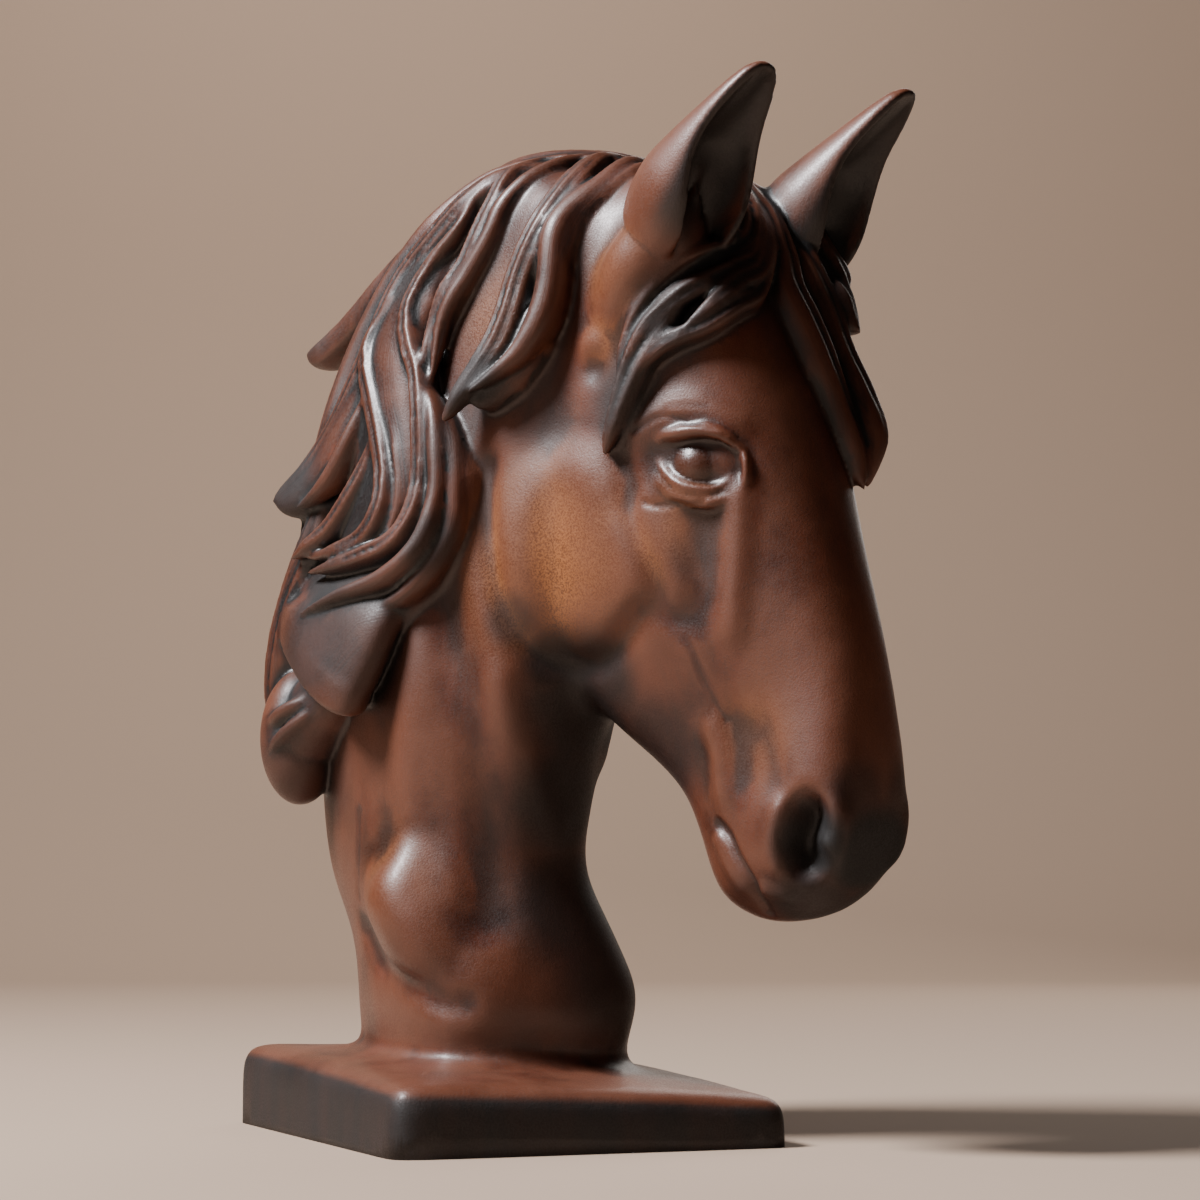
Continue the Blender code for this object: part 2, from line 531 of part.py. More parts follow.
def ear(hand, tip):
    """A pricked ear: a deep shell of even wall, closed at its root."""
    bm, t, turn = ball(96, 64)
    flip = np.array((1, hand, 1))
    root = turned(np.array(EAR_ROOT) * flip, HEAD_TURN)
    tip = turned(np.array(tip) * flip, HEAD_TURN)
    along = (tip - root) / np.linalg.norm(tip - root)
    opens = turned(np.array(EAR_OPENS) * flip, HEAD_TURN)
    opens -= along * np.dot(opens, along)
    opens /= np.linalg.norm(opens)
    side = np.cross(along, opens)
    half_width, depth = spline(EAR_SIZES, t).T
    outside = turn < 0.5
    u = np.where(outside, 4 * turn - 1, 3 - 4 * turn)
    hollow = eased((t - EAR_HOLLOW_FROM) / EAR_HOLLOW_RUN)
    fill = EAR_FILL + (EAR_ROOT_FILL - EAR_FILL) * (1 - hollow)
    wall = np.where(outside, EAR_WALL, -EAR_WALL - fill * depth * np.cos(u * math.pi / 2))
    wall = wall * np.sqrt(np.clip(1 - np.abs(u) ** EAR_EDGE_POWER, 0, 1))
    opening = eased((t - EAR_OPENING_FROM) / EAR_OPENING_RUN)
    angle = np.radians(EAR_ROOT_ARC + (EAR_ARC - EAR_ROOT_ARC) * opening) * u
    closing = np.clip(np.sin(math.pi * t) * 5, 0, 1) ** 0.5
    across = np.sin(angle) * (half_width * closing + wall)
    back = np.cos(angle) * (depth * closing + wall)
    path = root + (tip - root) * t[:, None]
    return placed(bm, path + side * across[:, None] - opens * back[:, None])


def rod(points, radius):
    """A thin round rod through the points, with narrowing ends."""
    bm, t, turn = ball(16, 40)
    points = turned(points, HEAD_TURN)
    path = spline(points, t)
    ahead = spline(points, t + 1e-3) - spline(points, t - 1e-3)
    ahead /= np.linalg.norm(ahead, axis=1)[:, None]
    side = np.cross(ahead, (0, 0, 1))
    side /= np.linalg.norm(side, axis=1)[:, None]
    up = np.cross(side, ahead)
    thick = radius * np.sin(math.pi * t) ** 0.5
    angle = turn * math.tau
    across = side * (np.cos(angle) * thick)[:, None]
    return placed(bm, path + across + up * (np.sin(angle) * thick)[:, None])


def details(skin_mesh):
    """Ears, eyes and hair, each a closed form that runs into the skin."""
    skin = Skin(skin_mesh)
    parts = []
    for hand in (1, -1):
        flip = np.array((1, hand, 1))
        parts.append(ear(hand, NEAR_EAR_TIP if hand == 1 else FAR_EAR_TIP))
        eye = turned(np.array(EYE) * flip, HEAD_TURN)
        parts.append(lump(eye, (EYE_RADIUS,) * 3))
        parts.append(lump(turned(np.array(EYE_PAD) * flip, HEAD_TURN), EYE_PAD_SIZE, (0, 0, HEAD_TURN)))
        for points, radius in LIDS.values():
            parts.append(rod(np.array(points) * flip, radius))
    for points, *shape in MANE.values():
        parts.append(lock(skin, points, *shape))
        parts.append(lock(skin, skin.mirrored(points), *shape))
    for place in (LOWEST_LOBE, skin.mirrored([LOWEST_LOBE])[0]):
        parts.append(lump(turned(place, HEAD_TURN), LOWEST_LOBE_SIZE, (0, 0, HEAD_TURN)))
    parts.append(lock(skin, HIGH_FLIP[0], *HIGH_FLIP[1:]))
    for points, *shape in FORELOCKS.values():
        parts.append(lock(skin, points, *shape))
    return parts


def distance_to(co, path):
    """How far each point is from a line of points."""
    best = np.linalg.norm(co - path[0], axis=1)
    for start, end in zip(path[:-1], path[1:]):
        run = end - start
        share = np.clip((co - start) @ run / max(run @ run, 1e-9), 0, 1)
        best = np.minimum(best, np.linalg.norm(co - start - share[:, None] * run, axis=1))
    return best


def stroked(mesh, co, names):
    """The skin with these modelling strokes of face and neck."""
    for places, reach, height, soft in [STROKES[name] for name in names]:
        set_coordinates(mesh, co)
        normals = np.empty(len(co) * 3)
        mesh.vertex_normals.foreach_get("vector", normals)
        normals = normals.reshape(-1, 3)
        forward = co @ turned((1, 0, 0), HEAD_TURN)
        right = co @ turned((0, 1, 0), HEAD_TURN)
        moved = co.copy()
        if len(places) > 1:
            places = spline(places, np.linspace(0, 1, 4 * len(places) - 3))
        for hand in (1, -1):
            path = []
            for ahead, up in places:
                near = (np.abs(forward - ahead) < 2) & (np.abs(co[:, 2] - up) < 2) & (hand * right > 4)
                if near.any():
                    picked = np.flatnonzero(near)
                    path.append(co[picked[np.argmax(hand * right[picked])]])
            if not path:
                continue
            path = np.array(path)
            for _ in range(3):
                path[1:-1] = (path[:-2] + path[1:-1] + path[2:]) / 3
            low, high = path.min(axis=0) - reach, path.max(axis=0) + reach
            close = np.flatnonzero(((co > low) & (co < high)).all(axis=1))
            fall = np.clip((1 - distance_to(co[close], path) / reach) / soft, 0, 1)
            fall = fall * fall * (3 - 2 * fall)
            moved[close] += normals[close] * (fall * height)[:, None]
        co = moved
    return co


def melted(mesh, co):
    """The skin with its grooves smoothed away where forms run into each other."""
    times, weight = MELTING
    share = np.zeros(len(co))
    for centre, reach in MELTED:
        for hand in (1, -1):
            spot = turned(np.array(centre) * (1, hand, 1), HEAD_TURN)
            near = np.clip(1.5 - 1.5 * np.linalg.norm(co - spot, axis=1) / reach, 0, 1)
            share = np.maximum(share, near)
    return smoothed(mesh, co, times, weight * share)


def cut_flat(obj):
    """The underside, cut level and closed."""
    bm = bmesh.new()
    bm.from_mesh(obj.data)
    everything = bm.verts[:] + bm.edges[:] + bm.faces[:]
    bmesh.ops.bisect_plane(bm, geom=everything, plane_co=(0, 0, 0), plane_no=(0, 0, 1), clear_inner=True)
    rim = [e for e in bm.edges if e.is_boundary]
    bmesh.ops.holes_fill(bm, edges=rim, sides=0)
    bm.to_mesh(obj.data)
    bm.free()


def faceted(obj):
    """The bust with few facets, kept small around the eyes and nostrils, and its underside kept level."""
    with_modifier(obj, "DECIMATE", ratio=FINE_SHARE * MOST_TRIANGLES / (2 * len(obj.data.polygons)))
    co = coordinates(obj.data)
    group = obj.vertex_groups.new(name="coarse")
    group.add(list(range(len(co))), 1, "REPLACE")
    for centre, reach in FINE_PLACES:
        for hand in (1, -1):
            spot = turned(np.array(centre) * (1, hand, 1), HEAD_TURN)
            near = np.flatnonzero(np.linalg.norm(co - spot, axis=1) < reach)
            group.add(near.tolist(), 0, "REPLACE")
    mesh = with_modifier(obj, "DECIMATE", ratio=1 / FINE_SHARE, vertex_group="coarse")
    co = coordinates(mesh)
    low = np.abs(co[:, 2]) < LEVEL
    co[low, 2] = 0
    set_coordinates(mesh, co)


def resin():
    """Satin wood-brown casting resin."""
    material = bpy.data.materials.new("wood_brown_resin")
    material.use_nodes = True
    shader = material.node_tree.nodes["Principled BSDF"]
    shader.inputs["Base Color"].default_value = (0.16, 0.055, 0.03, 1)
    shader.inputs["Roughness"].default_value = 0.4
    shader.inputs["Metallic"].default_value = 0.0
    return material


def main():
    clear_scene()
    bust = body()
    parts = details(bust.data)
    skin = bmesh.new()
    skin.from_mesh(bust.data)
    bpy.data.objects.remove(bust)
    bust = merged([skin] + parts, "horse_head_bust")
    mesh = with_modifier(bust, "REMESH", mode="VOXEL", voxel_size=FINE_VOXEL)
    co = melted(mesh, smoothed(mesh, coordinates(mesh), 2))
    co = stroked(mesh, co, [k for k in STROKES if STROKES[k][1] < 5])
    set_coordinates(mesh, smoothed(mesh, co, 1))
    cut_flat(bust)
    faceted(bust)
    mesh = bust.data
    set_coordinates(mesh, coordinates(mesh) * MILLIMETRE)
    mesh.materials.clear()
    mesh.materials.append(resin())
    mesh.shade_smooth()


main()
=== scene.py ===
"""Looks of the horse head bust: its carved surface, resin finish, floor, lights and camera."""

import math

import bmesh
import bpy
import numpy as np
from mathutils import Matrix, Vector, kdtree
from mathutils.bvhtree import BVHTree


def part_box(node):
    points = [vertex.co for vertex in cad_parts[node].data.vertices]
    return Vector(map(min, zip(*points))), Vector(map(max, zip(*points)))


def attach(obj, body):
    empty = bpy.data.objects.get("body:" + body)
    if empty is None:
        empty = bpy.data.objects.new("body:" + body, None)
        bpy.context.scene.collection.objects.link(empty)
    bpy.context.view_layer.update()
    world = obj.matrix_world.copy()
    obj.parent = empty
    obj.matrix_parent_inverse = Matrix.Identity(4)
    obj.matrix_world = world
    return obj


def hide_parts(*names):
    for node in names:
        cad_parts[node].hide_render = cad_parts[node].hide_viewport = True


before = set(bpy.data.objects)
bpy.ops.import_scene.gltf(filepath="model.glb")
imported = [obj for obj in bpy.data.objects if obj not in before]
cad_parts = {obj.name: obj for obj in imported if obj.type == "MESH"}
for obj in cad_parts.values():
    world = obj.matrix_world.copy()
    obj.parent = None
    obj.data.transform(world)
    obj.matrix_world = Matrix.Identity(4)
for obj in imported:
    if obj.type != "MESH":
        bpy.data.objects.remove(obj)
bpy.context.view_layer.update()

# The bust is shaped in millimetres and then fitted into its solid's box. The head's places and
# directions are given as forward, right and up, from the middle of the foot's underside.
HEAD_TURN = 28.0  # degrees to the horse's left
FOOT_LENGTH = 160.0
FOOT_WIDTH = 121.0
FOOT_HEIGHT = 20.0
FOOT_SLOPE_X = -0.032
FOOT_SLOPE_Y = -0.052
FOOT_CROWN = 6.0
FOOT_ROUNDING = 5
FOOT_ROUND_STEPS = 6
FOOT_CUTS = 3
FOOT_BURIED = 12.0  # how far the foot reaches under the floor before it is cut level

BODY_VOXEL = 2.0
FINE_VOXEL = 0.75
MOST_TRIANGLES = 190000
# Steps round and along each kind of form, and the steps of a lump.
RING_STEPS = (72, 90)
HAIR_STEPS = (96, 96)
EAR_STEPS = (96, 64)
ROD_STEPS = (16, 40)
LUMP_STEPS = 4
# Passes of smoothing: on the body as it is joined, after its swellings and after its broad strokes, then
# on the whole surface as it is joined and after its fine strokes.
BODY_PASSES = 12
SWOLLEN_PASSES = 3
BROAD_PASSES = 4
WHOLE_PASSES = 4
FINE_PASSES = 2

TINY = 1e-9
PATH_STEP = 1e-3  # how far to each side a path is read for its direction, as a share of it
SKIN_STATIONS = 16  # places along a lock where the skin's facing is read
SKIN_FACING = 40  # points of the skin that give its facing

# How a lock swells from its root: the share of its length, and 1 for straight or less for rounder.
ROOT_LENGTH = 0.25
ROOT_ROUNDNESS = 0.6
LOCK_SQUARENESS = 0.85
# Creases between ribs: the deepest, how deep for half of a rib's width, and how full the ribs are.
CREASE = 2.2
CREASE_PER_RIB = 1.6
RIB_FULLNESS = 0.7

# A body's outline: how far back its five widths lie, as shares of its depth, then how late and how
# roundly it closes at its two ends.
RING_DEPTHS = (0, 0.18, 0.45, 0.76, 1.0)
BODY_FULLNESS = 9
BODY_ROUNDNESS = 1 / 3

# Rings of the neck, each cut from throat to crest: turn, shift to the right, throat forward and up,
# crest forward and up, then half widths from the throat to the crest.
NECK_RINGS = (
    (0, 3, 52, 4, -60, 4, 30, 38, 39, 35, 26),
    (0, 3, 51, 30, -58, 30, 28, 37, 39, 35, 25),
    (1, 3, 49, 44, -58, 44, 27, 37, 39, 33, 23),
    (3, 5, 45, 62, -59, 60, 21, 32, 36, 32, 20),
    (6, 9, 41, 81, -64, 80, 16, 29, 35, 33, 17),
    (9, 9, 42, 99, -67, 100, 16, 30, 37, 34, 16),
    (13, 9, 46, 116, -66, 128, 16, 31, 38, 34, 15),
    (18, 7, 52, 138, -63, 166, 16, 32, 38, 33, 13),
    (23, 4, 60, 168, -55, 210, 18, 33, 37, 30, 12),
    (26, 2, 66, 204, -41, 254, 20, 33, 36, 28, 12),
    (28, 0, 72, 232, -15, 284, 22, 33, 35, 28, 14),
    (28, 0, 80, 256, 20, 295, 22, 31, 33, 29, 18),
    (28, 0, 92, 262, 56, 290, 18, 24, 26, 24, 16),
)

# Rings of the head, each cut from the front of the face to the jaw, in the same way.
HEAD_RINGS = (
    (28, 0, 66, 294, 22, 270, 14, 22, 26, 24, 16),
    (28, 0, 87, 285, 12, 242, 18, 28, 31, 30, 20),
    (28, 0, 100, 264, 10, 214, 20, 31, 33, 31, 20),
    (28, 0, 111, 240, 12, 188, 20, 33, 34, 32, 20),
    (28, 0, 120, 214, 16, 165, 18, 32, 34, 32, 20),
    (28, 0, 126.5, 192, 26, 146, 16, 28, 32, 31, 20),
    (28, 0, 132, 172, 40, 131, 14, 24, 30, 28, 18),
    (28, 0, 137, 154, 54, 119, 13, 21, 26, 24, 15),
    (28, 0, 140.5, 138, 67, 109, 13, 19, 22, 20, 12),
    (28, 0, 142.5, 122, 76, 100, 14, 20, 21, 18, 11),
    (28, 0, 143.5, 106, 82, 88, 15, 22, 22, 18, 11),
    (28, 0, 142.5, 92, 86, 77, 16, 24, 23, 18, 11),
    (28, 0, 139.5, 80, 90, 69, 14, 21, 20, 16, 10),
    (28, 0, 132, 68, 100, 62, 8, 12, 12, 10, 6),
)

# Swellings of the skin: centre, reach and push.
SWELLINGS = (
    ((22, -38, 68), (26, 30, 26), (3, -9, 0)),
    ((12, 40, 44), (30, 26, 26), (1, 0.5, 0)),
)

# Locks of hair: points along the back of the lock from its root to its tip, then half width, half
# thickness, ribs, the share of the length that narrows, and how sharp the tip is, 1 for a straight-sided
# point.
MANE = {
    "under_sweep": (((16, 18, 288), (-6, 26, 272), (-18, 30, 256), (-22, 35, 238), (-20, 39, 220),
                    (-16, 42, 202), (-18, 44, 186), (-28, 43, 172)), 19, 8, 1, 0.2, 0.5),
    "under_crest": (((26, 4, 298), (4, 6, 297), (-18, 10, 286), (-34, 13, 271), (-45, 16, 254),
                    (-53, 19, 236), (-58, 23, 216), (-60, 26, 196), (-62, 28, 176)),
                    13, 8, 4, 0.2, 0.5),
    "under_edge": (((10, 41, 214), (14, 44, 200), (13, 46, 186), (5, 48, 172), (-6, 48, 160),
                   (-16, 47, 150)), 11, 8, 1, 0.2, 0.5),
    "crest_cap": (((74, 0, 288), (60, 0, 292.5), (42, 0, 298), (22, 0, 300.5), (4, 0, 299),
                  (-12, 0, 293)), 10, 6, 3, 0.3, 0.6),
    "crest_sweep": (((42, -2, 296), (22, 20, 293), (9, 27, 286), (-5, 28, 276), (-17, 28, 266),
                    (-23, 30, 256), (-28, 33, 242), (-34, 34, 231), (-42, 34, 219), (-50, 34, 210),
                    (-59, 34, 202), (-68, 33, 196)), 7.5, 7, 4, 0.15, 0.5),
    "inner_sweep": (((14, 27, 286), (8, 31, 275), (-2, 33, 265), (-8, 36, 254), (-8, 38, 246),
                    (-4, 41, 238), (2, 44, 228), (6, 47, 214), (8, 49, 197), (7, 51, 187),
                    (0, 52.5, 178), (-14, 51.5, 174), (-30, 48, 172), (-44, 42, 171)),
                    4, 5, 2, 0.2, 0.7),
    "sunken_sweep": (((-6, 30, 258), (-14, 32, 247), (-16, 36, 236), (-13, 40, 222), (-7, 44, 206),
                     (-4, 46, 190), (-9, 47, 178), (-23, 46.5, 173)), 5, 4, 2, 0.3, 0.7),
    "dark_sweep": (((-18, 31, 256), (-27, 34, 244), (-26, 37, 234), (-20, 41, 223), (-14, 44, 211),
                   (-9, 47, 198), (-9, 49, 188), (-16, 49, 180), (-30, 46.5, 177), (-47, 39, 176)),
                   4.5, 6, 2, 0.25, 0.7),
    "outer_sweep": (((3, 42, 228), (10, 45, 218), (14, 48, 205), (16, 50, 191), (14, 53, 179),
                    (8, 55, 171), (-4, 55.5, 165.5), (-21, 54, 162), (-42, 47, 158)),
                    3.6, 6, 1, 0.3, 0.7),
    "edge_sweep": (((10, 42, 220), (17, 44, 207), (20, 46, 193), (20, 47, 181), (14, 50, 169),
                   (5, 52, 161), (-12, 51.5, 156)), 4, 7, 1, 0.3, 0.6),
    "curl_back_left": (((28, -2, 297.5), (25, 12, 296.5), (22, 24, 291), (21, 31, 281), (18, 34, 272),
                       (14, 36, 262), (8, 38, 254), (5, 39, 245), (4, 41, 236), (5, 42, 227)),
                       3.8, 5, 2, 0.4, 0.8),
    "curl_back_right": (((44, -2, 296), (39, 13, 295), (33, 25, 289), (27, 32, 280), (23, 35, 269),
                        (17, 37, 259), (12, 39, 251), (9, 40, 243), (8, 41, 232), (8, 42, 224)),
                        3.4, 5, 1, 0.4, 0.8),
    "curl_front_left": (((50, -4, 294), (51, 12, 294.5), (51, 25, 287), (48, 35, 275), (44, 39, 265),
                        (40, 41, 254), (38, 43, 244), (35, 45, 235), (30, 47, 227), (24, 49, 219),
                        (19, 49, 211)), 6, 7, 3, 0.3, 0.6),
    "curl_front_right": (((62, -4, 290), (60.5, 12, 291.5), (59, 26, 282), (54, 35, 273), (52, 39, 265),
                         (52, 41, 251), (50, 43, 240), (45, 45, 231), (38, 47, 225), (29, 49, 219)),
                         5, 7, 1, 0.35, 0.7),
    "curl_front_edge": (((70, -2, 287), (66, 12, 289), (62, 25, 280), (57, 32, 271), (54, 36, 258),
                        (53, 38, 245), (49, 40, 237), (42, 43, 230)), 3, 4, 1, 0.4, 0.8),
    "curl_front_under": (((50, 38, 246), (43, 41, 233), (35, 43, 224), (27, 44, 216)),
                         8, 9, 1, 0.4, 0.5),
    "low_flip": (((-26, 35, 232), (-38, 36, 217), (-48, 35, 207), (-58, 34, 201), (-67, 33, 197)),
                 11, 7, 1, 0.3, 0.45),
    "flip_rib": (((-20, 37, 230), (-28, 41, 214), (-34, 42, 204), (-42, 41, 197), (-53, 38, 192)),
                 3.2, 5, 1, 0.4, 0.7),
    "flip_rib_low": (((-12, 41, 218), (-20, 43, 203), (-27, 44, 193), (-36, 43, 185), (-46, 42, 180),
                     (-54, 39, 176)), 4, 5, 2, 0.4, 0.7),
    "back_fall": (((-42, 34, 204), (-52, 34.8, 186), (-61.5, 34.2, 170), (-67.5, 34.2, 154),
                  (-69.7, 34, 138), (-67.7, 34, 122)), 10, 12, 4, 0.3, 0.5),
    "hanging_lock": (((-20, 34, 197), (-25, 37.5, 185), (-30, 42, 171), (-35, 47.5, 158),
                     (-40, 49, 148.5), (-44, 47.8, 141)), 35, 10, 1, 0.08, 0.12),
    "lowest_lock": (((-30, 46, 146), (-38, 46, 136), (-46, 45.5, 129), (-53, 43.5, 123),
                    (-58, 41, 117)), 12, 10, 1, 0.3, 0.5),
    "lowest_rib": (((-36, 46, 133), (-43, 48.3, 130.5), (-51, 48, 127.5), (-57.5, 44.6, 124),
                   (-62, 39, 120)), 2.4, 3.2, 1, 0.5, 0.8),
    "lowest_rib_low": (((-33, 46, 130), (-40, 48.3, 126), (-48, 48.6, 121.5), (-55, 46, 117),
                       (-60, 40, 113)), 2.4, 3.2, 1, 0.5, 0.8),
    "crest_strand": (((70, 7, 288), (56, 8, 292), (40, 8, 296), (24, 9, 297.5), (8, 10, 296),
                     (-8, 12, 290), (-20, 14, 281)), 4, 4.5, 2, 0.4, 0.8),
}
# The round end of the lowest lock, and its half sizes forward, right and up.
LOWEST_LOBE = (-53, 34, 121)
LOWEST_LOBE_SIZE = (13, 12, 21)
# A lock that stands off the back of the crest.
HIGH_FLIP = (((-6, 6, 291), (-26, 8, 281), (-42, 9, 270), (-56, 8, 260), (-68, 7, 253), (-79, 6, 248)),
             8, 6, 3, 0.15, 0.5)
# The forelock, parted to both sides of the forehead.
FORELOCKS = {
    "near_back": (((84, -8, 287), (98, 2, 276), (106, 12, 262), (102, 24, 255), (97, 31, 250),
                  (91, 35, 244), (84, 37.5, 236), (79, 38.5, 228), (76.5, 38, 221)), 5, 6, 2, 0.4, 0.8),
    "near_middle": (((86, -8, 286), (102, 2, 272), (109, 11, 257), (108, 20, 252), (104, 28, 247),
                    (98, 34, 242), (88, 38.3, 234), (82, 39.5, 226), (78.5, 39.5, 219)),
                    4, 5, 2, 0.4, 0.8),
    "near_front": (((88, -8, 284), (104, 1, 268), (111, 12, 253), (110, 21, 248), (108, 27, 243),
                   (103, 32, 237), (97, 35, 231)), 4, 5, 2, 0.4, 0.8),
    "near_under": (((104, 28, 247), (97, 33.5, 242), (90, 37, 234), (83.5, 39.3, 224), (78, 39.8, 213),
                   (74, 39, 204), (71.5, 37, 197.5)), 5.5, 6, 2, 0.45, 0.7),
    "near_edge": (((92, -8, 281), (107, 2, 262), (112, 14, 246), (110, 24, 240), (104, 31, 234),
                  (95, 36, 230), (88, 38, 225), (83, 38.5, 218), (79, 38.5, 210)), 3.4, 5, 2, 0.4, 0.8),
    "far_left": (((88, -10, 285), (100, -9, 273), (108, -5, 261), (113, -2, 250), (118, -3, 240),
                 (122, -6, 228), (125, -10, 214), (128, -13, 200), (128, -13, 188)),
                 7, 9, 2, 0.35, 0.7),
    "far_right": (((86, -14, 285), (99, -16, 273), (108, -18, 260), (114, -20, 246), (119, -21, 232),
                  (125, -23, 218), (130, -22, 204), (127, -16, 189)), 8, 13, 3, 0.3, 0.6),
    "far_short": (((82, -16, 287), (94, -20, 279), (103, -24, 269), (109, -27, 259), (114, -28, 248),
                  (117, -27, 237)), 8, 10, 3, 0.25, 0.45),
    "far_side": (((74, -18, 288), (84, -27, 278), (92, -32, 266), (98, -35, 252), (101, -36, 236)),
                 8, 6, 3, 0.4, 0.7),
}

EAR_ROOT = (84, 27, 257)
EAR_TIPS = {1: (129, 33, 304), -1: (133, 32, 308)}  # the right ear's and the left one's
EAR_OPENS = (0.6, 0.08, -0.79)  # the way that an ear opens, on the right side
EAR_WALL = 1.7
# How far round its middle each edge of the ear reaches, in degrees, at its tip and at its root.
EAR_ARC = 96
EAR_ROOT_ARC = 145
EAR_HOLLOW_FROM = 0.22  # shares of the ear's length from its root
EAR_HOLLOW_RUN = 0.35
EAR_OPENING_FROM = 0.15
EAR_OPENING_RUN = 0.6
EAR_EDGE_POWER = 8  # how squarely the wall ends at the ear's edges
EAR_FULLNESS = 5  # how soon it has its full size from its root and its tip
# How much of the ear's depth is solid, in its hollow and at its root.
EAR_FILL = 0.35
EAR_ROOT_FILL = 1.25
# Half width and depth of the ear from its root to its tip.
EAR_SIZES = ((11, 13), (13.5, 16), (14.5, 16), (13, 13), (10.5, 9.5), (7.5, 6), (3.5, 2.4))

# Modelling strokes on both sides of the face and neck, by the forward and up of points on the skin,
# with their reach, their height above the skin, or depth below it where it is negative, and how soft
# the edge is, 1 for all slope.
STROKES = {
    "cheek": (((54, 182), (52, 170), (57, 164), (64, 166)), 27, 3.2, 0.6),
    "jaw_edge": (((29, 200), (29, 188), (32, 170), (37, 153), (43, 142), (52, 137), (62, 138),
                 (71, 144), (81, 152)), 6, -2.4, 1),
    "eye_socket": (((90, 197), (98, 193), (108, 194)), 11, -1.4, 1),
    "brow": (((82, 205), (92, 210), (102, 211), (111, 206)), 8, 1.8, 1),
    "facial_crest": (((113, 186), (112, 172), (111, 160), (109, 146)), 7, 2.0, 1),
    "crest_hollow": (((102, 177), (102, 167), (101, 157), (97, 151)), 9, -1.7, 1),
    "tear_groove": (((77, 199), (79, 188), (82, 177), (85, 168), (88, 157)), 5, -1.5, 1),
    "tear_ridge": (((86, 184), (90, 172), (94, 158)), 7, 1.0, 1),
    "crest_pit": (((86, 152), (92, 151)), 6, -1.2, 1),
    "temple": (((63, 232),), 8, 2.5, 1),
    "temple_pit": (((65, 223),), 6, -2.6, 1),
    "ear_base": (((74, 248), (72, 240)), 16, 2.0, 1),
    "bar_hollow": (((108, 120), (108, 106)), 7, -1.2, 1),
    "lit_bar": (((98, 118), (99, 109), (99, 100)), 6, 2.4, 1),
    "nostril": (((133, 95), (131, 90), (129.5, 85), (130, 80)), 7.5, -11.0, 0.6),
    "nostril_wing": (((140, 98), (141, 90), (139, 82)), 5, 1.8, 1),
    "nostril_rim": (((121, 98), (119, 88), (121, 78)), 5, 1.4, 1),
    "nose_hollow": (((116, 118), (119, 104)), 8, -1.0, 1),
    "neck_band": (((12, 176), (8, 150), (5, 125), (2, 100), (0, 80)), 13, 2.4, 1),
    "neck_groove": (((14, 165), (21, 143), (27, 118), (27, 90), (29, 68)), 13, -2.4, 1),
    "throat_band": (((33, 134), (37, 112), (38, 92), (40, 76)), 9, 1.6, 1),
    "shoulder": (((-17, 74), (-6, 70), (5, 64), (13, 55)), 15, 3.0, 1),
    "shoulder_edge": (((-32, 62), (-23, 56), (-9, 50), (6, 45), (17, 42), (27, 40)), 6, -2.4, 1),
    "lip_groove": (((94, 145), (97, 139), (99, 132), (102, 126), (105, 120)), 2.2, -0.35, 1),
    "mouth": (((96, 91), (100, 88), (103, 83), (107, 77), (109, 72), (109, 68), (108, 65)), 3, -1.6, 1),
    "lower_lip": (((95, 86), (99, 79), (103, 73)), 4, 0.8, 1),
    "lip_bulge": (((114, 72), (120, 71)), 4.9, 1.6, 1),
    "lid_crease": (((83, 203), (89, 206), (96, 207), (103, 207), (108, 205)), 1.8, -0.5, 1),
    "under_eye_crease": (((85, 186), (92, 182), (99, 180), (104, 181)), 1.8, -0.6, 1),
    "brow_crease": (((93, 212), (99, 213), (105, 212)), 1.5, -0.25, 1),
    "neck_line": (((-25, 96), (-27, 83), (-31, 70)), 2.5, -0.5, 1),
}
BROAD_STROKE = 5  # the least reach of a stroke that is made before the hair is laid
STROKE_FINDS = 2  # how near to a place, seen from the side, its point of the skin is looked for
STROKE_FROM_MIDDLE = 4  # and at least how far from the middle of the horse
STROKE_STEPS = 4  # points read for each stretch between two places
STROKE_SOFTENING = 3  # passes that even out the line

EYE = (96.5, 22.5, 194)
EYE_RADIUS = 9.2
# The lids' flesh round each eyeball, as half sizes forward, right and up.
EYE_PAD = (97, 21.5, 195)
EYE_PAD_SIZE = (15, 7.5, 11.5)
# Round folds of the lids: points along the middle, then radius.
LIDS = {
    "upper_lid": (((82, 30, 200), (89, 31.5, 202.5), (96, 32, 203), (103, 30.5, 203.3),
                  (108, 28, 201.5), (112, 25, 197.5)), 2.2),
    "lower_lid": (((85, 30.5, 199.5), (87.5, 30.8, 195), (92, 31.5, 190.5), (96.5, 31.5, 187.8),
                  (101, 30, 186.7), (105.5, 27.5, 187), (110, 25, 191)), 1.5),
    "lower_fold": (((82, 29.5, 198.5), (85, 30.5, 193), (90, 31, 187.7), (96, 30.5, 184.3),
                   (102, 29, 182.8), (107.5, 26.5, 184), (112, 24, 189)), 1.8),
    "corner_fold": (((111, 24.5, 200), (113, 24.5, 195), (113.5, 24.5, 191), (113, 25, 186)), 1.4),
}
# Places where one form melts into the next: centre and reach.
MELTED = (((72, 38, 250), 15), ((101, 33, 264), 8))
MELTED_PASSES = 100
MELTED_WEIGHT = 0.6
MELTED_EDGE = 1.5  # 1 to fade from the centre on, more to fade nearer to the reach
# The thick root of each ear: points along the middle, then radius.
EAR_ROOT_FORM = (((64, 23, 232), (77, 27, 248), (88, 29, 260), (98, 30, 271)), 13.5)

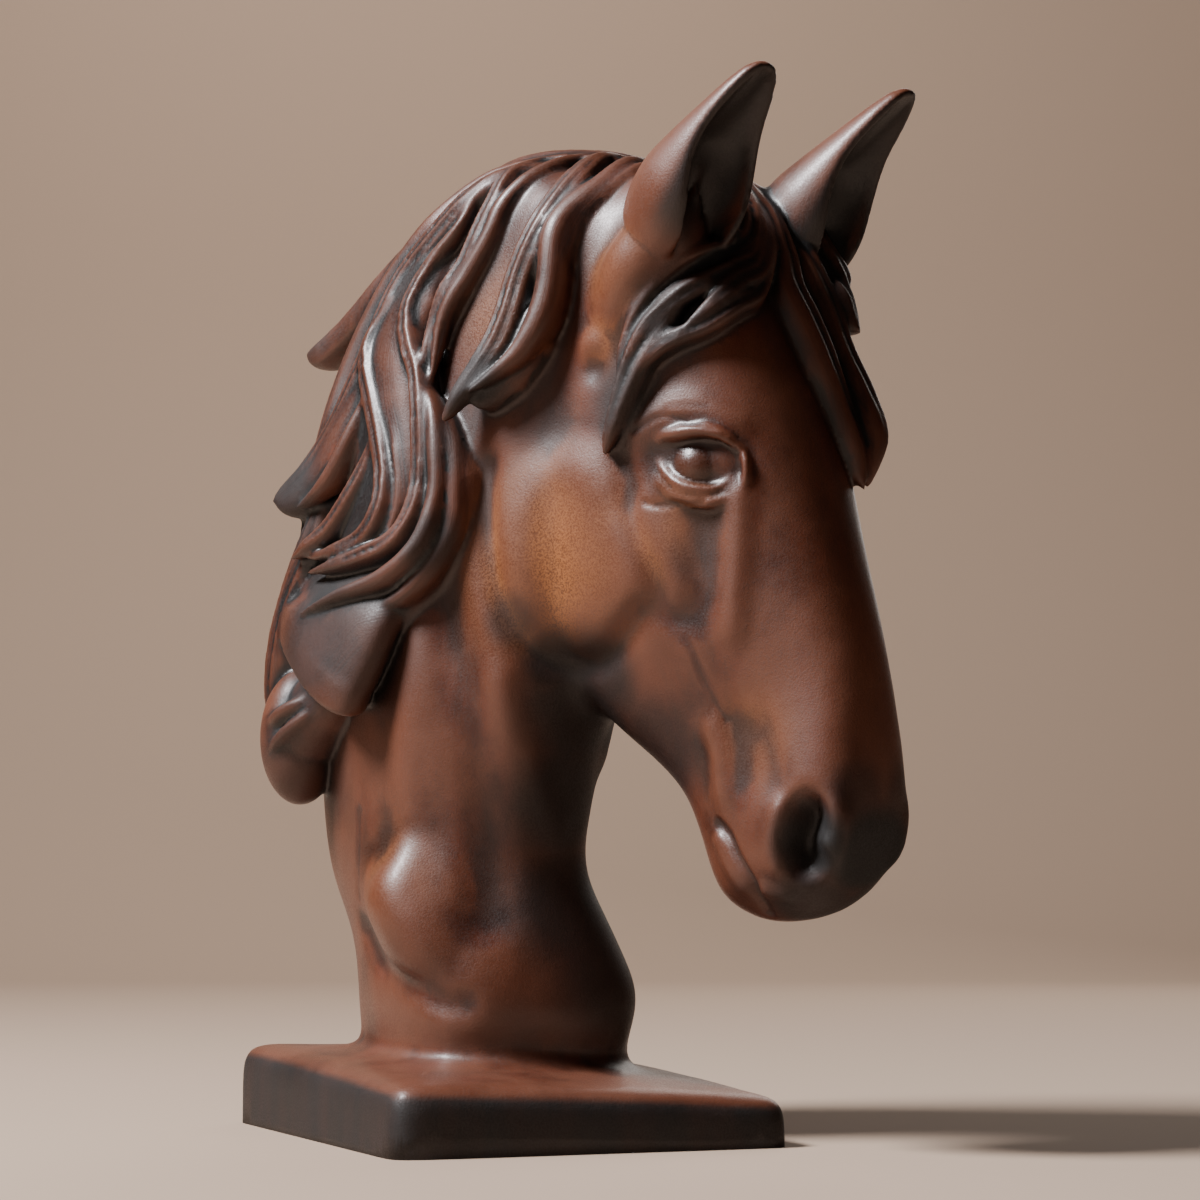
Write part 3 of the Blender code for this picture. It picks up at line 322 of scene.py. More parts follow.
# Near-black on both sides, airbrushed paint mixed with painted shade: centre, reach and strength.
PAINT_AND_SHADE = {
    # Airbrushed black of the muzzle and nostril, deepened on the front of the nose as painted shade.
    "nostril": ((131, 17, 87), 17, 1.0),
    "nose_tip": ((139, 3, 84), 22, 1.0),
    "lips": ((124, 8, 70), 20, 0.9),
    "nose_top": ((141, 10, 100), 14, 0.6),
    "chin": ((108, 13, 70), 14, 0.4),
    # Airbrushed dark on the locks, with painted shade under them and under their curls.
    "hanging_lock": ((-28, 50, 150), 34, 0.66),
    "hanging_lock_front": ((-10, 54, 146), 28, 0.6),
    "sweep_edge": ((16, 50, 176), 13, 0.7),
    "low_flip": ((-60, 34, 196), 24, 0.85),
    "high_flip": ((-72, 8, 252), 14, 0.6),
    "lowest_lock": ((-44, 40, 110), 24, 0.5),
    "curl_tips": ((28, 47, 222), 17, 0.85),
    "under_curls": ((20, 46, 206), 12, 0.4),
    "forelock_tip": ((76, 38, 215), 18, 0.75),
    "forelock_middle": ((94, 33, 238), 17, 0.75),
    "forelock_front": ((108, 24, 246), 16, 0.65),
    # Painted shade under the jaw, down the throat and the front of the neck, and on the chest.
    "jaw_corner": ((36, 36, 153), 11, 0.6),
    "under_jaw": ((46, 26, 140), 16, 0.85),
    "under_jaw_front": ((60, 24, 136), 19, 0.85),
    "jaw_bars": ((76, 14, 116), 24, 0.7),
    "throat": ((46, 12, 128), 31, 0.9),
    "neck_front_high": ((40, 14, 100), 28, 0.9),
    "neck_front": ((40, 12, 70), 30, 0.82),
    "chest": ((46, 0, 50), 32, 0.8),
    # Painted shade in the tear groove.
    "tear_groove": ((97, 27, 167), 10, 0.35),
}
# Golden brown, speckled, on both sides: centre, reach and strength.
GILDED = {
    "cheek": ((52, 40, 168), 44, 0.95),
    "behind_ear": ((34, 38, 244), 26, 0.7),
    "ear_root": ((74, 38, 254), 20, 0.7),
    "temple": ((70, 34, 232), 14, 0.5),
    "cheek_front": ((86, 32, 172), 18, 0.5),
    "under_eye": ((96, 28, 184), 16, 0.3),
    "shoulder": ((-4, 44, 76), 26, 0.4),
    "muzzle_side": ((112, 22, 118), 20, 0.35),
}
# The share of a place's reach that is at its full strength.
PAINT_AND_SHADE_CORE = 0.4
GILDED_CORE = 0.1

# What the finish follows, worked out by marks and kept in the surface.
MARKS = ("crease", "valley", "recess", "hair", "flow", "strands", "paint_and_shade", "foot_side", "gilt", "eyeball",
         "inner_ear")
# Creases and valleys: passes of smoothing that fill them, and the depth that counts as the deepest.
CREASE_PASSES = 6
VALLEY_PASSES = 60
DEEPEST_CREASE = 0.25
DEEPEST_VALLEY = 1.6
# Recesses, darkened in the finish as painted shade: the rays sent out from each point, how far they spread,
# where they start and how far they go.
RECESS_RAYS = 20
GOLDEN_ANGLE = 2.39996
RECESS_SPREAD = 0.92  # 1 sends the last ray along the skin
RECESS_CLEAR = 0.3
RECESS_REACH = 14.0
HAIR_STATIONS = 60  # places read along each lock
HAIR_CHOICES = 6  # nearest of them, of which the one nearest for its lock's width counts
# Hair: how far it stands over the skin, how far from a lock's middle it ends, in half widths, and from
# what half width on a lock shows fewer fine strands, to none.
HAIR_RAISED = (0.4, 1.6)
HAIR_BESIDE = (1.1, 1.9)
STRANDED_WIDTHS = (9, 14)
# The foot's sides: how level they face, up to what height, and how far out on the foot, as a share.
FOOT_SIDE_FACING = (0.35, 0.75)
FOOT_SIDE_TOP = (22, 30)
FOOT_SIDE_OUT = (0.9, 0.96)
# The ears' insides, near-black in the finish as painted shade: how they face, how far along the ear, and
# how far from the line along it.
INNER_EAR_FACING = (0.05, 0.45)
INNER_EAR_ALONG = (0.1, 0.3)
INNER_EAR_AWAY = (16, 19)
# How far outside the eyeball's ball its mark is full, and where it ends.
EYE_SKIN = 0.1
EYE_EDGE = 0.6


def turned(points, degrees=HEAD_TURN):
    """Points given as forward, right, up, in the scene's directions. Turned again, they are as before."""
    points = np.asarray(points, float)
    angle = np.radians(degrees)
    forward, right, up = points[..., 0], points[..., 1], points[..., 2]
    x = forward * np.cos(angle) + right * np.sin(angle)
    y = forward * np.sin(angle) - right * np.cos(angle)
    return np.stack([x, y, up], axis=-1)


def sided(places, hand):
    """Places of the right side where hand is 1, or their mirror images where it is -1."""
    return np.array(places) * (1, hand, 1)


def in_head(co):
    """Coordinates as forward, right and up of the head."""
    return np.stack([co @ turned((1, 0, 0)), co @ turned((0, 1, 0)), co[:, 2]], axis=1)


def eased(share):
    """0 to 1 with a soft start and end."""
    share = np.clip(share, 0, 1)
    return share**2 * (3 - 2 * share)


def ramped(values, low, high):
    """0 under low, 1 over high, and smooth between."""
    return eased((values - low) / (high - low))


def faded(values, low, high):
    """1 under low, 0 over high, and smooth between."""
    return ramped(-values, -high, -low)


def spline(rows, t):
    """Rows read at t, from 0 to 1, on a smooth curve through all of them."""
    rows = np.asarray(rows, float)
    last = len(rows) - 1
    place = np.clip(np.asarray(t, float) * last, 0, last - TINY)
    i = place.astype(int)
    f = (place - i)[:, None]
    before = rows[np.maximum(i - 1, 0)]
    start = rows[i]
    end = rows[i + 1]
    after = rows[np.minimum(i + 2, last)]
    return 0.5 * (
        2 * start
        + (end - before) * f
        + (2 * before - 5 * start + 4 * end - after) * f**2
        + (3 * start - before - 3 * end + after) * f**3
    )


def unit(rows):
    """Rows of directions, each made 1 long."""
    return rows / np.linalg.norm(rows, axis=1)[:, None]


def followed(points, t):
    """Places at t on the smooth curve through the points, and the way that it goes there."""
    return spline(points, t), unit(spline(points, t + PATH_STEP) - spline(points, t - PATH_STEP))


def ball(around, along):
    """A sphere mesh, with each vertex's place along its axis, 0 to 1, and around it, 0 to 1."""
    bm = bmesh.new()
    bmesh.ops.create_uvsphere(bm, u_segments=around, v_segments=along, radius=1)
    co = np.array([v.co for v in bm.verts])
    t = np.arccos(np.clip(-co[:, 2], -1, 1)) / math.pi
    turn = (np.arctan2(co[:, 1], co[:, 0]) / math.tau) % 1.0
    return bm, t, turn


def placed(bm, co):
    """The form with its vertices at these coordinates and its faces pointing outwards."""
    for vert, point in zip(bm.verts, co):
        vert.co = point
    bmesh.ops.recalc_face_normals(bm, faces=bm.faces)
    return bm


def ring_loft(rings):
    """A closed body through the rings, each a rounded outline from its front edge to its back edge."""
    bm, t, turn = ball(*RING_STEPS)
    rows = spline(rings, t)
    yaw, shift = rows[:, 0], rows[:, 1]
    front, back = rows[:, 2:4], rows[:, 4:6]
    widths = rows[:, 6:11]
    across = np.concatenate([widths, -widths[:, ::-1]], axis=1)
    deep = np.array(RING_DEPTHS + RING_DEPTHS[::-1])
    place = turn * len(deep)
    i = np.floor(place).astype(int)
    f = place - i
    # A place is drawn to the four nearest corners of its outline by the weights of a cubic B-spline.
    weights = ((1 - f) ** 3, 3 * f**3 - 6 * f**2 + 4, -3 * f**3 + 3 * f**2 + 3 * f + 1, f**3)
    side = np.zeros(len(t))
    depth = np.zeros(len(t))
    for step, weight in zip((-1, 0, 1, 2), weights):
        pick = (i + step) % len(deep)
        side += weight / 6 * across[np.arange(len(t)), pick]
        depth += weight / 6 * deep[pick]
    closing = (1 - np.abs(2 * t - 1) ** BODY_FULLNESS) ** BODY_ROUNDNESS
    depth = 0.5 + (depth - 0.5) * closing
    forward_up = front + (back - front) * depth[:, None]
    right = side * closing + shift
    return placed(bm, turned(np.stack([forward_up[:, 0], right, forward_up[:, 1]], axis=1), yaw))


def lump(centre, radii, degrees=0):
    """An egg shape, turned to the horse's left by the degrees."""
    bm = bmesh.new()
    bmesh.ops.create_icosphere(bm, subdivisions=LUMP_STEPS, radius=1)
    x, y, z = (np.array([v.co for v in bm.verts]) * radii).T
    angle = math.radians(degrees)
    ahead = x * math.cos(angle) - y * math.sin(angle)
    left = x * math.sin(angle) + y * math.cos(angle)
    return placed(bm, np.stack([ahead, left, z], axis=1) + np.asarray(centre, float))


def rod(points, radius):
    """A thin round rod through the points, with narrowing ends."""
    bm, t, turn = ball(*ROD_STEPS)
    path, ahead = followed(turned(points), t)
    side = unit(np.cross(ahead, (0, 0, 1)))
    up = np.cross(side, ahead)
    thick = radius * np.sin(math.pi * t) ** 0.5
    angle = turn * math.tau
    across = side * (np.cos(angle) * thick)[:, None]
    return placed(bm, path + across + up * (np.sin(angle) * thick)[:, None])


def rounded(bm, edges):
    """Edges of the foot made round."""
    bmesh.ops.bevel(bm, geom=edges, offset=FOOT_ROUNDING, segments=FOOT_ROUND_STEPS, affect="EDGES",
                    profile=0.5, material=-1)


def foot():
    """The rectangular foot, with round edges and a crowned top that slopes a little."""
    bm = bmesh.new()
    bmesh.ops.create_cube(bm, size=1)
    for v in bm.verts:
        v.co.x *= FOOT_LENGTH
        v.co.y *= FOOT_WIDTH
        v.co.z = FOOT_HEIGHT if v.co.z > 0 else -FOOT_BURIED
    rounded(bm, [e for e in bm.edges if abs(e.verts[0].co.z - e.verts[1].co.z) > 1])
    top = [e for e in bm.edges if min(v.co.z for v in e.verts) > FOOT_HEIGHT - 1]
    rounded(bm, [e for e in top if len(e.link_faces) == 2 and any(f.normal.z < 0.5 for f in e.link_faces)])
    bmesh.ops.triangulate(bm, faces=[f for f in bm.faces if len(f.verts) > 4])
    bmesh.ops.subdivide_edges(bm, edges=bm.edges[:], cuts=FOOT_CUTS, use_grid_fill=True)
    for v in bm.verts:
        across_x = 1 - (2 * v.co.x / FOOT_LENGTH) ** 2
        across_y = 1 - (2 * v.co.y / FOOT_WIDTH) ** 2
        crown = FOOT_CROWN * max(across_x, 0) * max(across_y, 0)
        lift = FOOT_SLOPE_X * v.co.x + FOOT_SLOPE_Y * v.co.y + crown
        share = max(0.0, v.co.z / FOOT_HEIGHT)
        v.co.z += lift * share
    return bm


def merged(parts, name):
    """One object that holds all of these forms, which may still pass through each other."""
    mesh = bpy.data.meshes.new(name)
    whole = bmesh.new()
    for part in parts:
        piece = bpy.data.meshes.new(name + "_piece")
        part.to_mesh(piece)
        part.free()
        whole.from_mesh(piece)
        bpy.data.meshes.remove(piece)
    whole.to_mesh(mesh)
    whole.free()
    obj = bpy.data.objects.new(name, mesh)
    bpy.context.scene.collection.objects.link(obj)
    return obj


def with_modifier(obj, kind, **settings):
    """The object's mesh as the modifier leaves it."""
    modifier = obj.modifiers.new(kind.title(), kind)
    for key, value in settings.items():
        setattr(modifier, key, value)
    bpy.context.view_layer.update()
    graph = bpy.context.evaluated_depsgraph_get()
    mesh = bpy.data.meshes.new_from_object(obj.evaluated_get(graph))
    obj.modifiers.remove(modifier)
    old = obj.data
    obj.data = mesh
    bpy.data.meshes.remove(old)
    return mesh


def coordinates(mesh):
    co = np.empty(len(mesh.vertices) * 3)
    mesh.vertices.foreach_get("co", co)
    return co.reshape(-1, 3)


def set_coordinates(mesh, co):
    mesh.vertices.foreach_set("co", co.ravel())
    mesh.update()


def vertex_normals(mesh):
    normals = np.empty(len(mesh.vertices) * 3)
    mesh.vertex_normals.foreach_get("vector", normals)
    return normals.reshape(-1, 3)


def smoothed(mesh, co, passes, weight=0.5):
    """Coordinates moved in each pass towards the middle of their neighbours, by the weight."""
    ends = np.empty(len(mesh.edges) * 2, int)
    mesh.edges.foreach_get("vertices", ends)
    a, b = ends.reshape(-1, 2).T
    count = np.bincount(ends, minlength=len(co)).astype(float)
    for _ in range(passes):
        mean = np.empty_like(co)
        for axis in range(3):
            total = np.bincount(a, co[b, axis], len(co)) + np.bincount(b, co[a, axis], len(co))
            mean[:, axis] = total / count
        co = co + (mean - co) * np.reshape(weight, (-1, 1))
    return co


def tree_of(places):
    """A tree that finds the nearest of these places."""
    tree = kdtree.KDTree(len(places))
    for i, p in enumerate(places):
        tree.insert(p, i)
    tree.balance()
    return tree


class Skin:
    """The smooth skin under the hair, to find which way is out."""

    def __init__(self, mesh):
        self.normals = vertex_normals(mesh)
        self.tree = tree_of(coordinates(mesh))

    def outward(self, point):
        """The way that the skin faces round the point."""
        near = [i for _, i, _ in self.tree.find_n(point, SKIN_FACING)]
        normal = self.normals[near].mean(axis=0)
        return normal / np.linalg.norm(normal)

    def lift(self, point):
        """How high the point stands over the skin."""
        spot, i, _ = self.tree.find(point)
        return (point - np.array(spot)) @ self.normals[i]

    def mirrored(self, points):
        """Points moved to the other side, as far from the skin as they were."""
        moved = []
        for p in np.asarray(points, float):
            lift = self.lift(turned(p))
            spot, i, _ = self.tree.find(turned(sided(p, -1)))
            moved.append(turned(np.array(spot) + self.normals[i] * lift))
        return moved


def all_locks(skin):
    """Every lock of hair, with the mane on both sides."""
    locks = []
    for points, *shape in MANE.values():
        locks += [(points, *shape), (skin.mirrored(points), *shape)]
    return locks + [HIGH_FLIP] + list(FORELOCKS.values())


def laid(skin, points, t):
    """Places at t along a lock, the way that it goes there and the way across it, level with the skin."""
    points = turned(points)
    path, ahead = followed(points, t)
    stations = np.linspace(0, 1, SKIN_STATIONS)
    outward = spline([skin.outward(p) for p in spline(points, stations)], t)
    return path, ahead, unit(np.cross(ahead, outward))


def squared(wave):
    """A wave with fuller tops, for a section between a round and a box."""
    return np.sign(wave) * np.abs(wave) ** LOCK_SQUARENESS


def lock(skin, points, half_width, thickness, ribs, narrowing, point):
    """A lock of hair under a line of points, round-backed, creased between ribs, narrowing to a tip."""
    bm, t, turn = ball(*HAIR_STEPS)
    path, ahead, side = laid(skin, points, t)
    outward = np.cross(side, ahead)
    across = squared(np.cos(turn * math.tau))
    out = squared(np.sin(turn * math.tau))
    root = np.clip(t / ROOT_LENGTH, 0, 1) ** ROOT_ROUNDNESS
    tip = np.clip((1 - t) / narrowing, 0, 1) ** point
    taper = root * tip
    wide = half_width * taper
    thick = thickness * taper
    crease = 1 - np.abs(np.sin(math.pi * ribs * (across + 1) / 2)) ** RIB_FULLNESS
    deepest = min(CREASE, CREASE_PER_RIB * half_width / ribs)
    depth = np.where(out > 0, crease * deepest * (ribs > 1), 0)
    raised = (out - 1) * thick - depth * np.minimum(taper, 1)
    return placed(bm, path + side * (across * wide)[:, None] + outward * raised[:, None])


def ear(hand, tip):
    """A pricked ear: a deep shell of even wall, closed at its root."""
    bm, t, turn = ball(*EAR_STEPS)
    root, tip = turned(sided(EAR_ROOT, hand)), turned(sided(tip, hand))
    along = (tip - root) / np.linalg.norm(tip - root)
    opens = turned(sided(EAR_OPENS, hand))
    opens -= along * np.dot(opens, along)
    opens /= np.linalg.norm(opens)
    side = np.cross(along, opens)
    half_width, depth = spline(EAR_SIZES, t).T
    # The first half turn of the ball is the ear's outside and the second its inside, each from edge to
    # edge of the ear as u goes from -1 to 1.
    outside = turn < 0.5
    u = np.where(outside, 4 * turn - 1, 3 - 4 * turn)
    hollow = eased((t - EAR_HOLLOW_FROM) / EAR_HOLLOW_RUN)
    fill = EAR_FILL + (EAR_ROOT_FILL - EAR_FILL) * (1 - hollow)
    wall = np.where(outside, EAR_WALL, -EAR_WALL - fill * depth * np.cos(u * math.pi / 2))
    wall = wall * np.sqrt(np.clip(1 - np.abs(u) ** EAR_EDGE_POWER, 0, 1))
    opening = eased((t - EAR_OPENING_FROM) / EAR_OPENING_RUN)
    angle = np.radians(EAR_ROOT_ARC + (EAR_ARC - EAR_ROOT_ARC) * opening) * u
    closing = np.clip(np.sin(math.pi * t) * EAR_FULLNESS, 0, 1) ** 0.5
    across = np.sin(angle) * (half_width * closing + wall)
    back = np.cos(angle) * (depth * closing + wall)
    path = root + (tip - root) * t[:, None]
    return placed(bm, path + side * across[:, None] - opens * back[:, None])


def details(skin, locks):
    """Ears, eyes and hair, each a closed form that runs into the skin."""
    parts = []
    for hand, ear_tip in EAR_TIPS.items():
        parts.append(ear(hand, ear_tip))
        parts.append(lump(turned(sided(EYE, hand)), (EYE_RADIUS,) * 3))
        parts.append(lump(turned(sided(EYE_PAD, hand)), EYE_PAD_SIZE, HEAD_TURN))
        for points, radius in LIDS.values():
            parts.append(rod(sided(points, hand), radius))
    for place in (LOWEST_LOBE, skin.mirrored([LOWEST_LOBE])[0]):
        parts.append(lump(turned(place), LOWEST_LOBE_SIZE, HEAD_TURN))
    return parts + [lock(skin, *row) for row in locks]


def distance_to(co, path):
    """How far each point is from a line of points."""
    best = np.linalg.norm(co - path[0], axis=1)
    for start, end in zip(path[:-1], path[1:]):
        run = end - start
        share = np.clip((co - start) @ run / max(run @ run, TINY), 0, 1)
        best = np.minimum(best, np.linalg.norm(co - start - share[:, None] * run, axis=1))
    return best


def stroke_path(co, head, places, hand):
    """A stroke's line on one side: the skin's outermost point near each of its places, softened."""
    path = []
    outward = hand * head[:, 1]
    for ahead, up in places:
        near = (np.abs(head[:, 0] - ahead) < STROKE_FINDS) & (np.abs(head[:, 2] - up) < STROKE_FINDS)
        picked = np.flatnonzero(near & (outward > STROKE_FROM_MIDDLE))
        if len(picked):
            path.append(co[picked[np.argmax(outward[picked])]])
    path = np.array(path)
    for _ in range(STROKE_SOFTENING):
        path[1:-1] = (path[:-2] + path[1:-1] + path[2:]) / 3
    return path


def stroked(mesh, co, strokes):
    """The skin with these modelling strokes of face and neck."""
    for places, reach, height, soft in strokes:
        set_coordinates(mesh, co)
        normals = vertex_normals(mesh)
        head = in_head(co)
        moved = co.copy()
        if len(places) > 1:
            places = spline(places, np.linspace(0, 1, STROKE_STEPS * (len(places) - 1) + 1))
        for hand in (1, -1):
            path = stroke_path(co, head, places, hand)
            if not len(path):
                continue
            low, high = path.min(axis=0) - reach, path.max(axis=0) + reach
            close = np.flatnonzero(((co > low) & (co < high)).all(axis=1))
            fall = eased((1 - distance_to(co[close], path) / reach) / soft)
            moved[close] += normals[close] * (fall * height)[:, None]
        co = moved
    return co


def melted(mesh, co):
    """The skin with its grooves smoothed away where forms run into each other."""
    share = np.zeros(len(co))
    for centre, reach in MELTED:
        for hand in (1, -1):
            away = np.linalg.norm(co - turned(sided(centre, hand)), axis=1)
            share = np.maximum(share, np.clip(MELTED_EDGE - MELTED_EDGE * away / reach, 0, 1))
    return smoothed(mesh, co, MELTED_PASSES, MELTED_WEIGHT * share)


def cut_flat(obj):
    """The underside, cut level and closed."""
    bm = bmesh.new()
    bm.from_mesh(obj.data)
    everything = bm.verts[:] + bm.edges[:] + bm.faces[:]
    bmesh.ops.bisect_plane(bm, geom=everything, plane_co=(0, 0, 0), plane_no=(0, 0, 1), clear_inner=True)
    rim = [e for e in bm.edges if e.is_boundary]
    bmesh.ops.holes_fill(bm, edges=rim, sides=0)
    bm.to_mesh(obj.data)
    bm.free()


def body():
    """Foot, neck and head as one smooth skin."""
    parts = [foot(), ring_loft(NECK_RINGS), ring_loft(HEAD_RINGS)]
    points, radius = EAR_ROOT_FORM
    parts += [rod(sided(points, hand), radius) for hand in (1, -1)]
    skin = merged(parts, "horse_head_bust")
    mesh = with_modifier(skin, "REMESH", mode="VOXEL", voxel_size=BODY_VOXEL)
    co = smoothed(mesh, coordinates(mesh), BODY_PASSES)
    for centre, reach, push in SWELLINGS:
        near = np.linalg.norm((co - centre) / reach, axis=1)
        co = co + np.clip(1 - near**2, 0, 1)[:, None] ** 2 * push
    co = smoothed(mesh, co, SWOLLEN_PASSES)
    co = stroked(mesh, co, [s for s in STROKES.values() if s[1] >= BROAD_STROKE])
    set_coordinates(mesh, smoothed(mesh, co, BROAD_PASSES))
    return skin


def shut_in(mesh, co, normals):
    """How far other parts of the form close each point in, from 0 in the open to 1."""
    tree = BVHTree.FromPolygons([tuple(p) for p in co], [tuple(f.vertices) for f in mesh.polygons])
    turns = np.arange(RECESS_RAYS) * GOLDEN_ANGLE
    rise = 1 - (np.arange(RECESS_RAYS) + 0.5) / RECESS_RAYS * RECESS_SPREAD
    flat = np.sqrt(1 - rise**2)
    rays = np.stack([flat * np.cos(turns), flat * np.sin(turns), rise], axis=1)
    helper = np.where(np.abs(normals[:, 2:]) < 0.9, (0.0, 0.0, 1.0), (1.0, 0.0, 0.0))
    side = unit(np.cross(normals, helper))
    other = np.cross(normals, side)
    start = co + normals * RECESS_CLEAR
    closed = np.zeros(len(co))
    for a, b, c in rays:
        ways = side * a + other * b + normals * c
        for i in range(len(co)):
            hit = tree.ray_cast(start[i], ways[i], RECESS_REACH)[3]
            if hit is not None:
                closed[i] += c * (1 - hit / RECESS_REACH)
    return closed / rays[:, 2].sum()


def combed(co, skin, locks):
    """How far each point is hair, how far across its lock it lies, and how far it is a narrow lock's."""
    stations = np.linspace(0, 1, HAIR_STATIONS)
    lines = [laid(skin, points, stations) for points, *_ in locks]
    places = np.concatenate([path for path, _, _ in lines])
    across = np.concatenate([side for _, _, side in lines])
    widths = np.repeat([float(half_width) for _, half_width, *_ in locks], HAIR_STATIONS)
    tree = tree_of(places)
    nearest = np.empty(len(co), int)
    for i, p in enumerate(co):
        found = tree.find_n(p, HAIR_CHOICES)
        nearest[i] = min(found, key=lambda row: row[2] / widths[row[1]])[1]
    lift = np.array([skin.lift(p) for p in co])
    offset = co - places[nearest]
    away = np.linalg.norm(offset, axis=1) / widths[nearest]
    hair = ramped(lift, *HAIR_RAISED) * faded(away, *HAIR_BESIDE)
    flow = (offset * across[nearest]).sum(axis=1)
    return hair, flow, hair * faded(widths[nearest], *STRANDED_WIDTHS)


def places_near(head, table, core):
    """The strongest of the table's places at each point, full in its core and nothing past its reach."""
    share = np.zeros(len(head))
    for centre, reach, strength in table.values():
        near = np.linalg.norm(head - centre, axis=1)
        share = np.maximum(share, strength * faded(near, core * reach, reach))
    return share


def foot_sides(co, normals):
    """The upright sides of the foot."""
    outmost = np.abs(co[:, :2] / (FOOT_LENGTH / 2, FOOT_WIDTH / 2)).max(axis=1)
    low = faded(co[:, 2], *FOOT_SIDE_TOP)
    return faded(normals[:, 2], *FOOT_SIDE_FACING) * low * ramped(outmost, *FOOT_SIDE_OUT)


def inner_ears(co, normals):
    """The hollow of each ear, where the skin faces the way the ear opens."""
    share = np.zeros(len(co))
    for hand, ear_tip in EAR_TIPS.items():
        root, tip, opens = (turned(sided(p, hand)) for p in (EAR_ROOT, ear_tip, EAR_OPENS))
        run = tip - root
        along = (co - root) @ run / (run @ run)
        away = np.linalg.norm(co - root - np.clip(along, 0, 1)[:, None] * run, axis=1)
        facing = ramped(normals @ opens, *INNER_EAR_FACING)
        hollow = facing * ramped(along, *INNER_EAR_ALONG) * faded(away, *INNER_EAR_AWAY)
        share = np.maximum(share, hollow)
    return share


def eyeballs(co):
    """The bare ball of each eye between its lids."""
    share = np.zeros(len(co))
    for hand in (1, -1):
        away = np.linalg.norm(co - turned(sided(EYE, hand)), axis=1)
        share = np.maximum(share, faded(away, EYE_RADIUS + EYE_SKIN, EYE_RADIUS + EYE_EDGE))
    return share


def centred(values, most):
    """Values from -most to most as 0 to 1, with what is level at a half."""
    return np.clip(values / most, -1, 1) * 0.5 + 0.5


def marks(mesh, co, skin, locks):
    """What the finish follows at each point of the surface."""
    normals = vertex_normals(mesh)
    fine = smoothed(mesh, co, CREASE_PASSES)
    broad = smoothed(mesh, fine, VALLEY_PASSES)
    hair, flow, strands = combed(co, skin, locks)
    head = in_head(co)
    head[:, 1] = np.abs(head[:, 1])
    return {
        "crease": centred(((fine - co) * normals).sum(axis=1), DEEPEST_CREASE),
        "valley": centred(((broad - co) * normals).sum(axis=1), DEEPEST_VALLEY),
        "recess": shut_in(mesh, co, normals),
        "hair": hair,
        "flow": flow,
        "strands": strands,
        "paint_and_shade": places_near(head, PAINT_AND_SHADE, PAINT_AND_SHADE_CORE),
        "foot_side": foot_sides(co, normals),
        "gilt": places_near(head, GILDED, GILDED_CORE),
        "eyeball": eyeballs(co),
        "inner_ear": inner_ears(co, normals),
    }


def carved_surface():
    """The whole bust as one finely carved skin, fitted exactly into its solid's box."""
    bust = body()
    skin = Skin(bust.data)
    locks = all_locks(skin)
    smooth = bmesh.new()
    smooth.from_mesh(bust.data)
    bpy.data.objects.remove(bust)
    bust = merged([smooth] + details(skin, locks), "horse_head_bust_surface")
    mesh = with_modifier(bust, "REMESH", mode="VOXEL", voxel_size=FINE_VOXEL)
    co = melted(mesh, smoothed(mesh, coordinates(mesh), WHOLE_PASSES))
    co = stroked(mesh, co, [s for s in STROKES.values() if s[1] < BROAD_STROKE])
    set_coordinates(mesh, smoothed(mesh, co, FINE_PASSES))
    cut_flat(bust)
    triangles = 2 * len(bust.data.polygons)
    mesh = with_modifier(bust, "DECIMATE", decimate_type="COLLAPSE", ratio=MOST_TRIANGLES / triangles)
    co = coordinates(mesh)
    found = marks(mesh, co, skin, locks)
    for name in MARKS:
        mesh.attributes.new(name, "FLOAT", "POINT").data.foreach_set("value", found[name])
    low, high = np.array(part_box("horse_head_bust"))
    shares = (co - co.min(axis=0)) / (co.max(axis=0) - co.min(axis=0))
    set_coordinates(mesh, low + shares * (high - low))
    mesh.materials.clear()
    mesh.shade_smooth()
    return bust


# Colours of the finish.
BROWN = (0.040, 0.0092, 0.0038)
LIGHT_BROWN = (0.115, 0.036, 0.0165)
GOLD = (0.30, 0.105, 0.028)
RUST = (0.10, 0.020, 0.0065)
DARK_BROWN = (0.014, 0.0050, 0.0034)
NEAR_BLACK = (0.0040, 0.0032, 0.0032)
# Patterns of the finish: scale, detail and roughness, then how each axis is stretched.
CLOUDS = (30, 4, 0.6)
STREAKS = (80, 4, 0.6, (1, 1, 0.2))
GRAIN = (1700, 2, 0.6)
HAIR_LINES = (1.1, 2, 0.5)
WAVES = (150, 3, 0.5)
# Its sheen: the roughness over the clouds, what the grain, the bare eyeball and the black paint and painted
# shade add to it, and the clear coat on brown and on black.
CLOUD_ROUGHNESS = (0.40, 0.52)
GRAIN_ROUGHNESS = (-0.05, 0.1)
EYE_SMOOTHNESS = 0.1
PAINT_ROUGHNESS = 0.16
SPECULAR = 0.5
CLEAR_COATS = (0.2, 0.03)
CLEAR_COAT_ROUGHNESS = 0.26
# Its fine relief: how high the lines in the hair, the waves, and the grain on bare skin and on hair stand
# in it, its strength, and its depth in metres.
HAIR_LINE_HEIGHT = 0.28
WAVE_HEIGHT = 0.35
GRAIN_HEIGHTS = (0.25, 0.14)
RELIEF_STRENGTH = 0.5
RELIEF_DEPTH = 0.0006

NODE_SPACING = (180, 300)
NODES_IN_ROW = 10
MIX_COLOURS = (6, 7)  # where a mix node takes its two colours
MIXED_COLOUR = 2  # and where it gives their mix


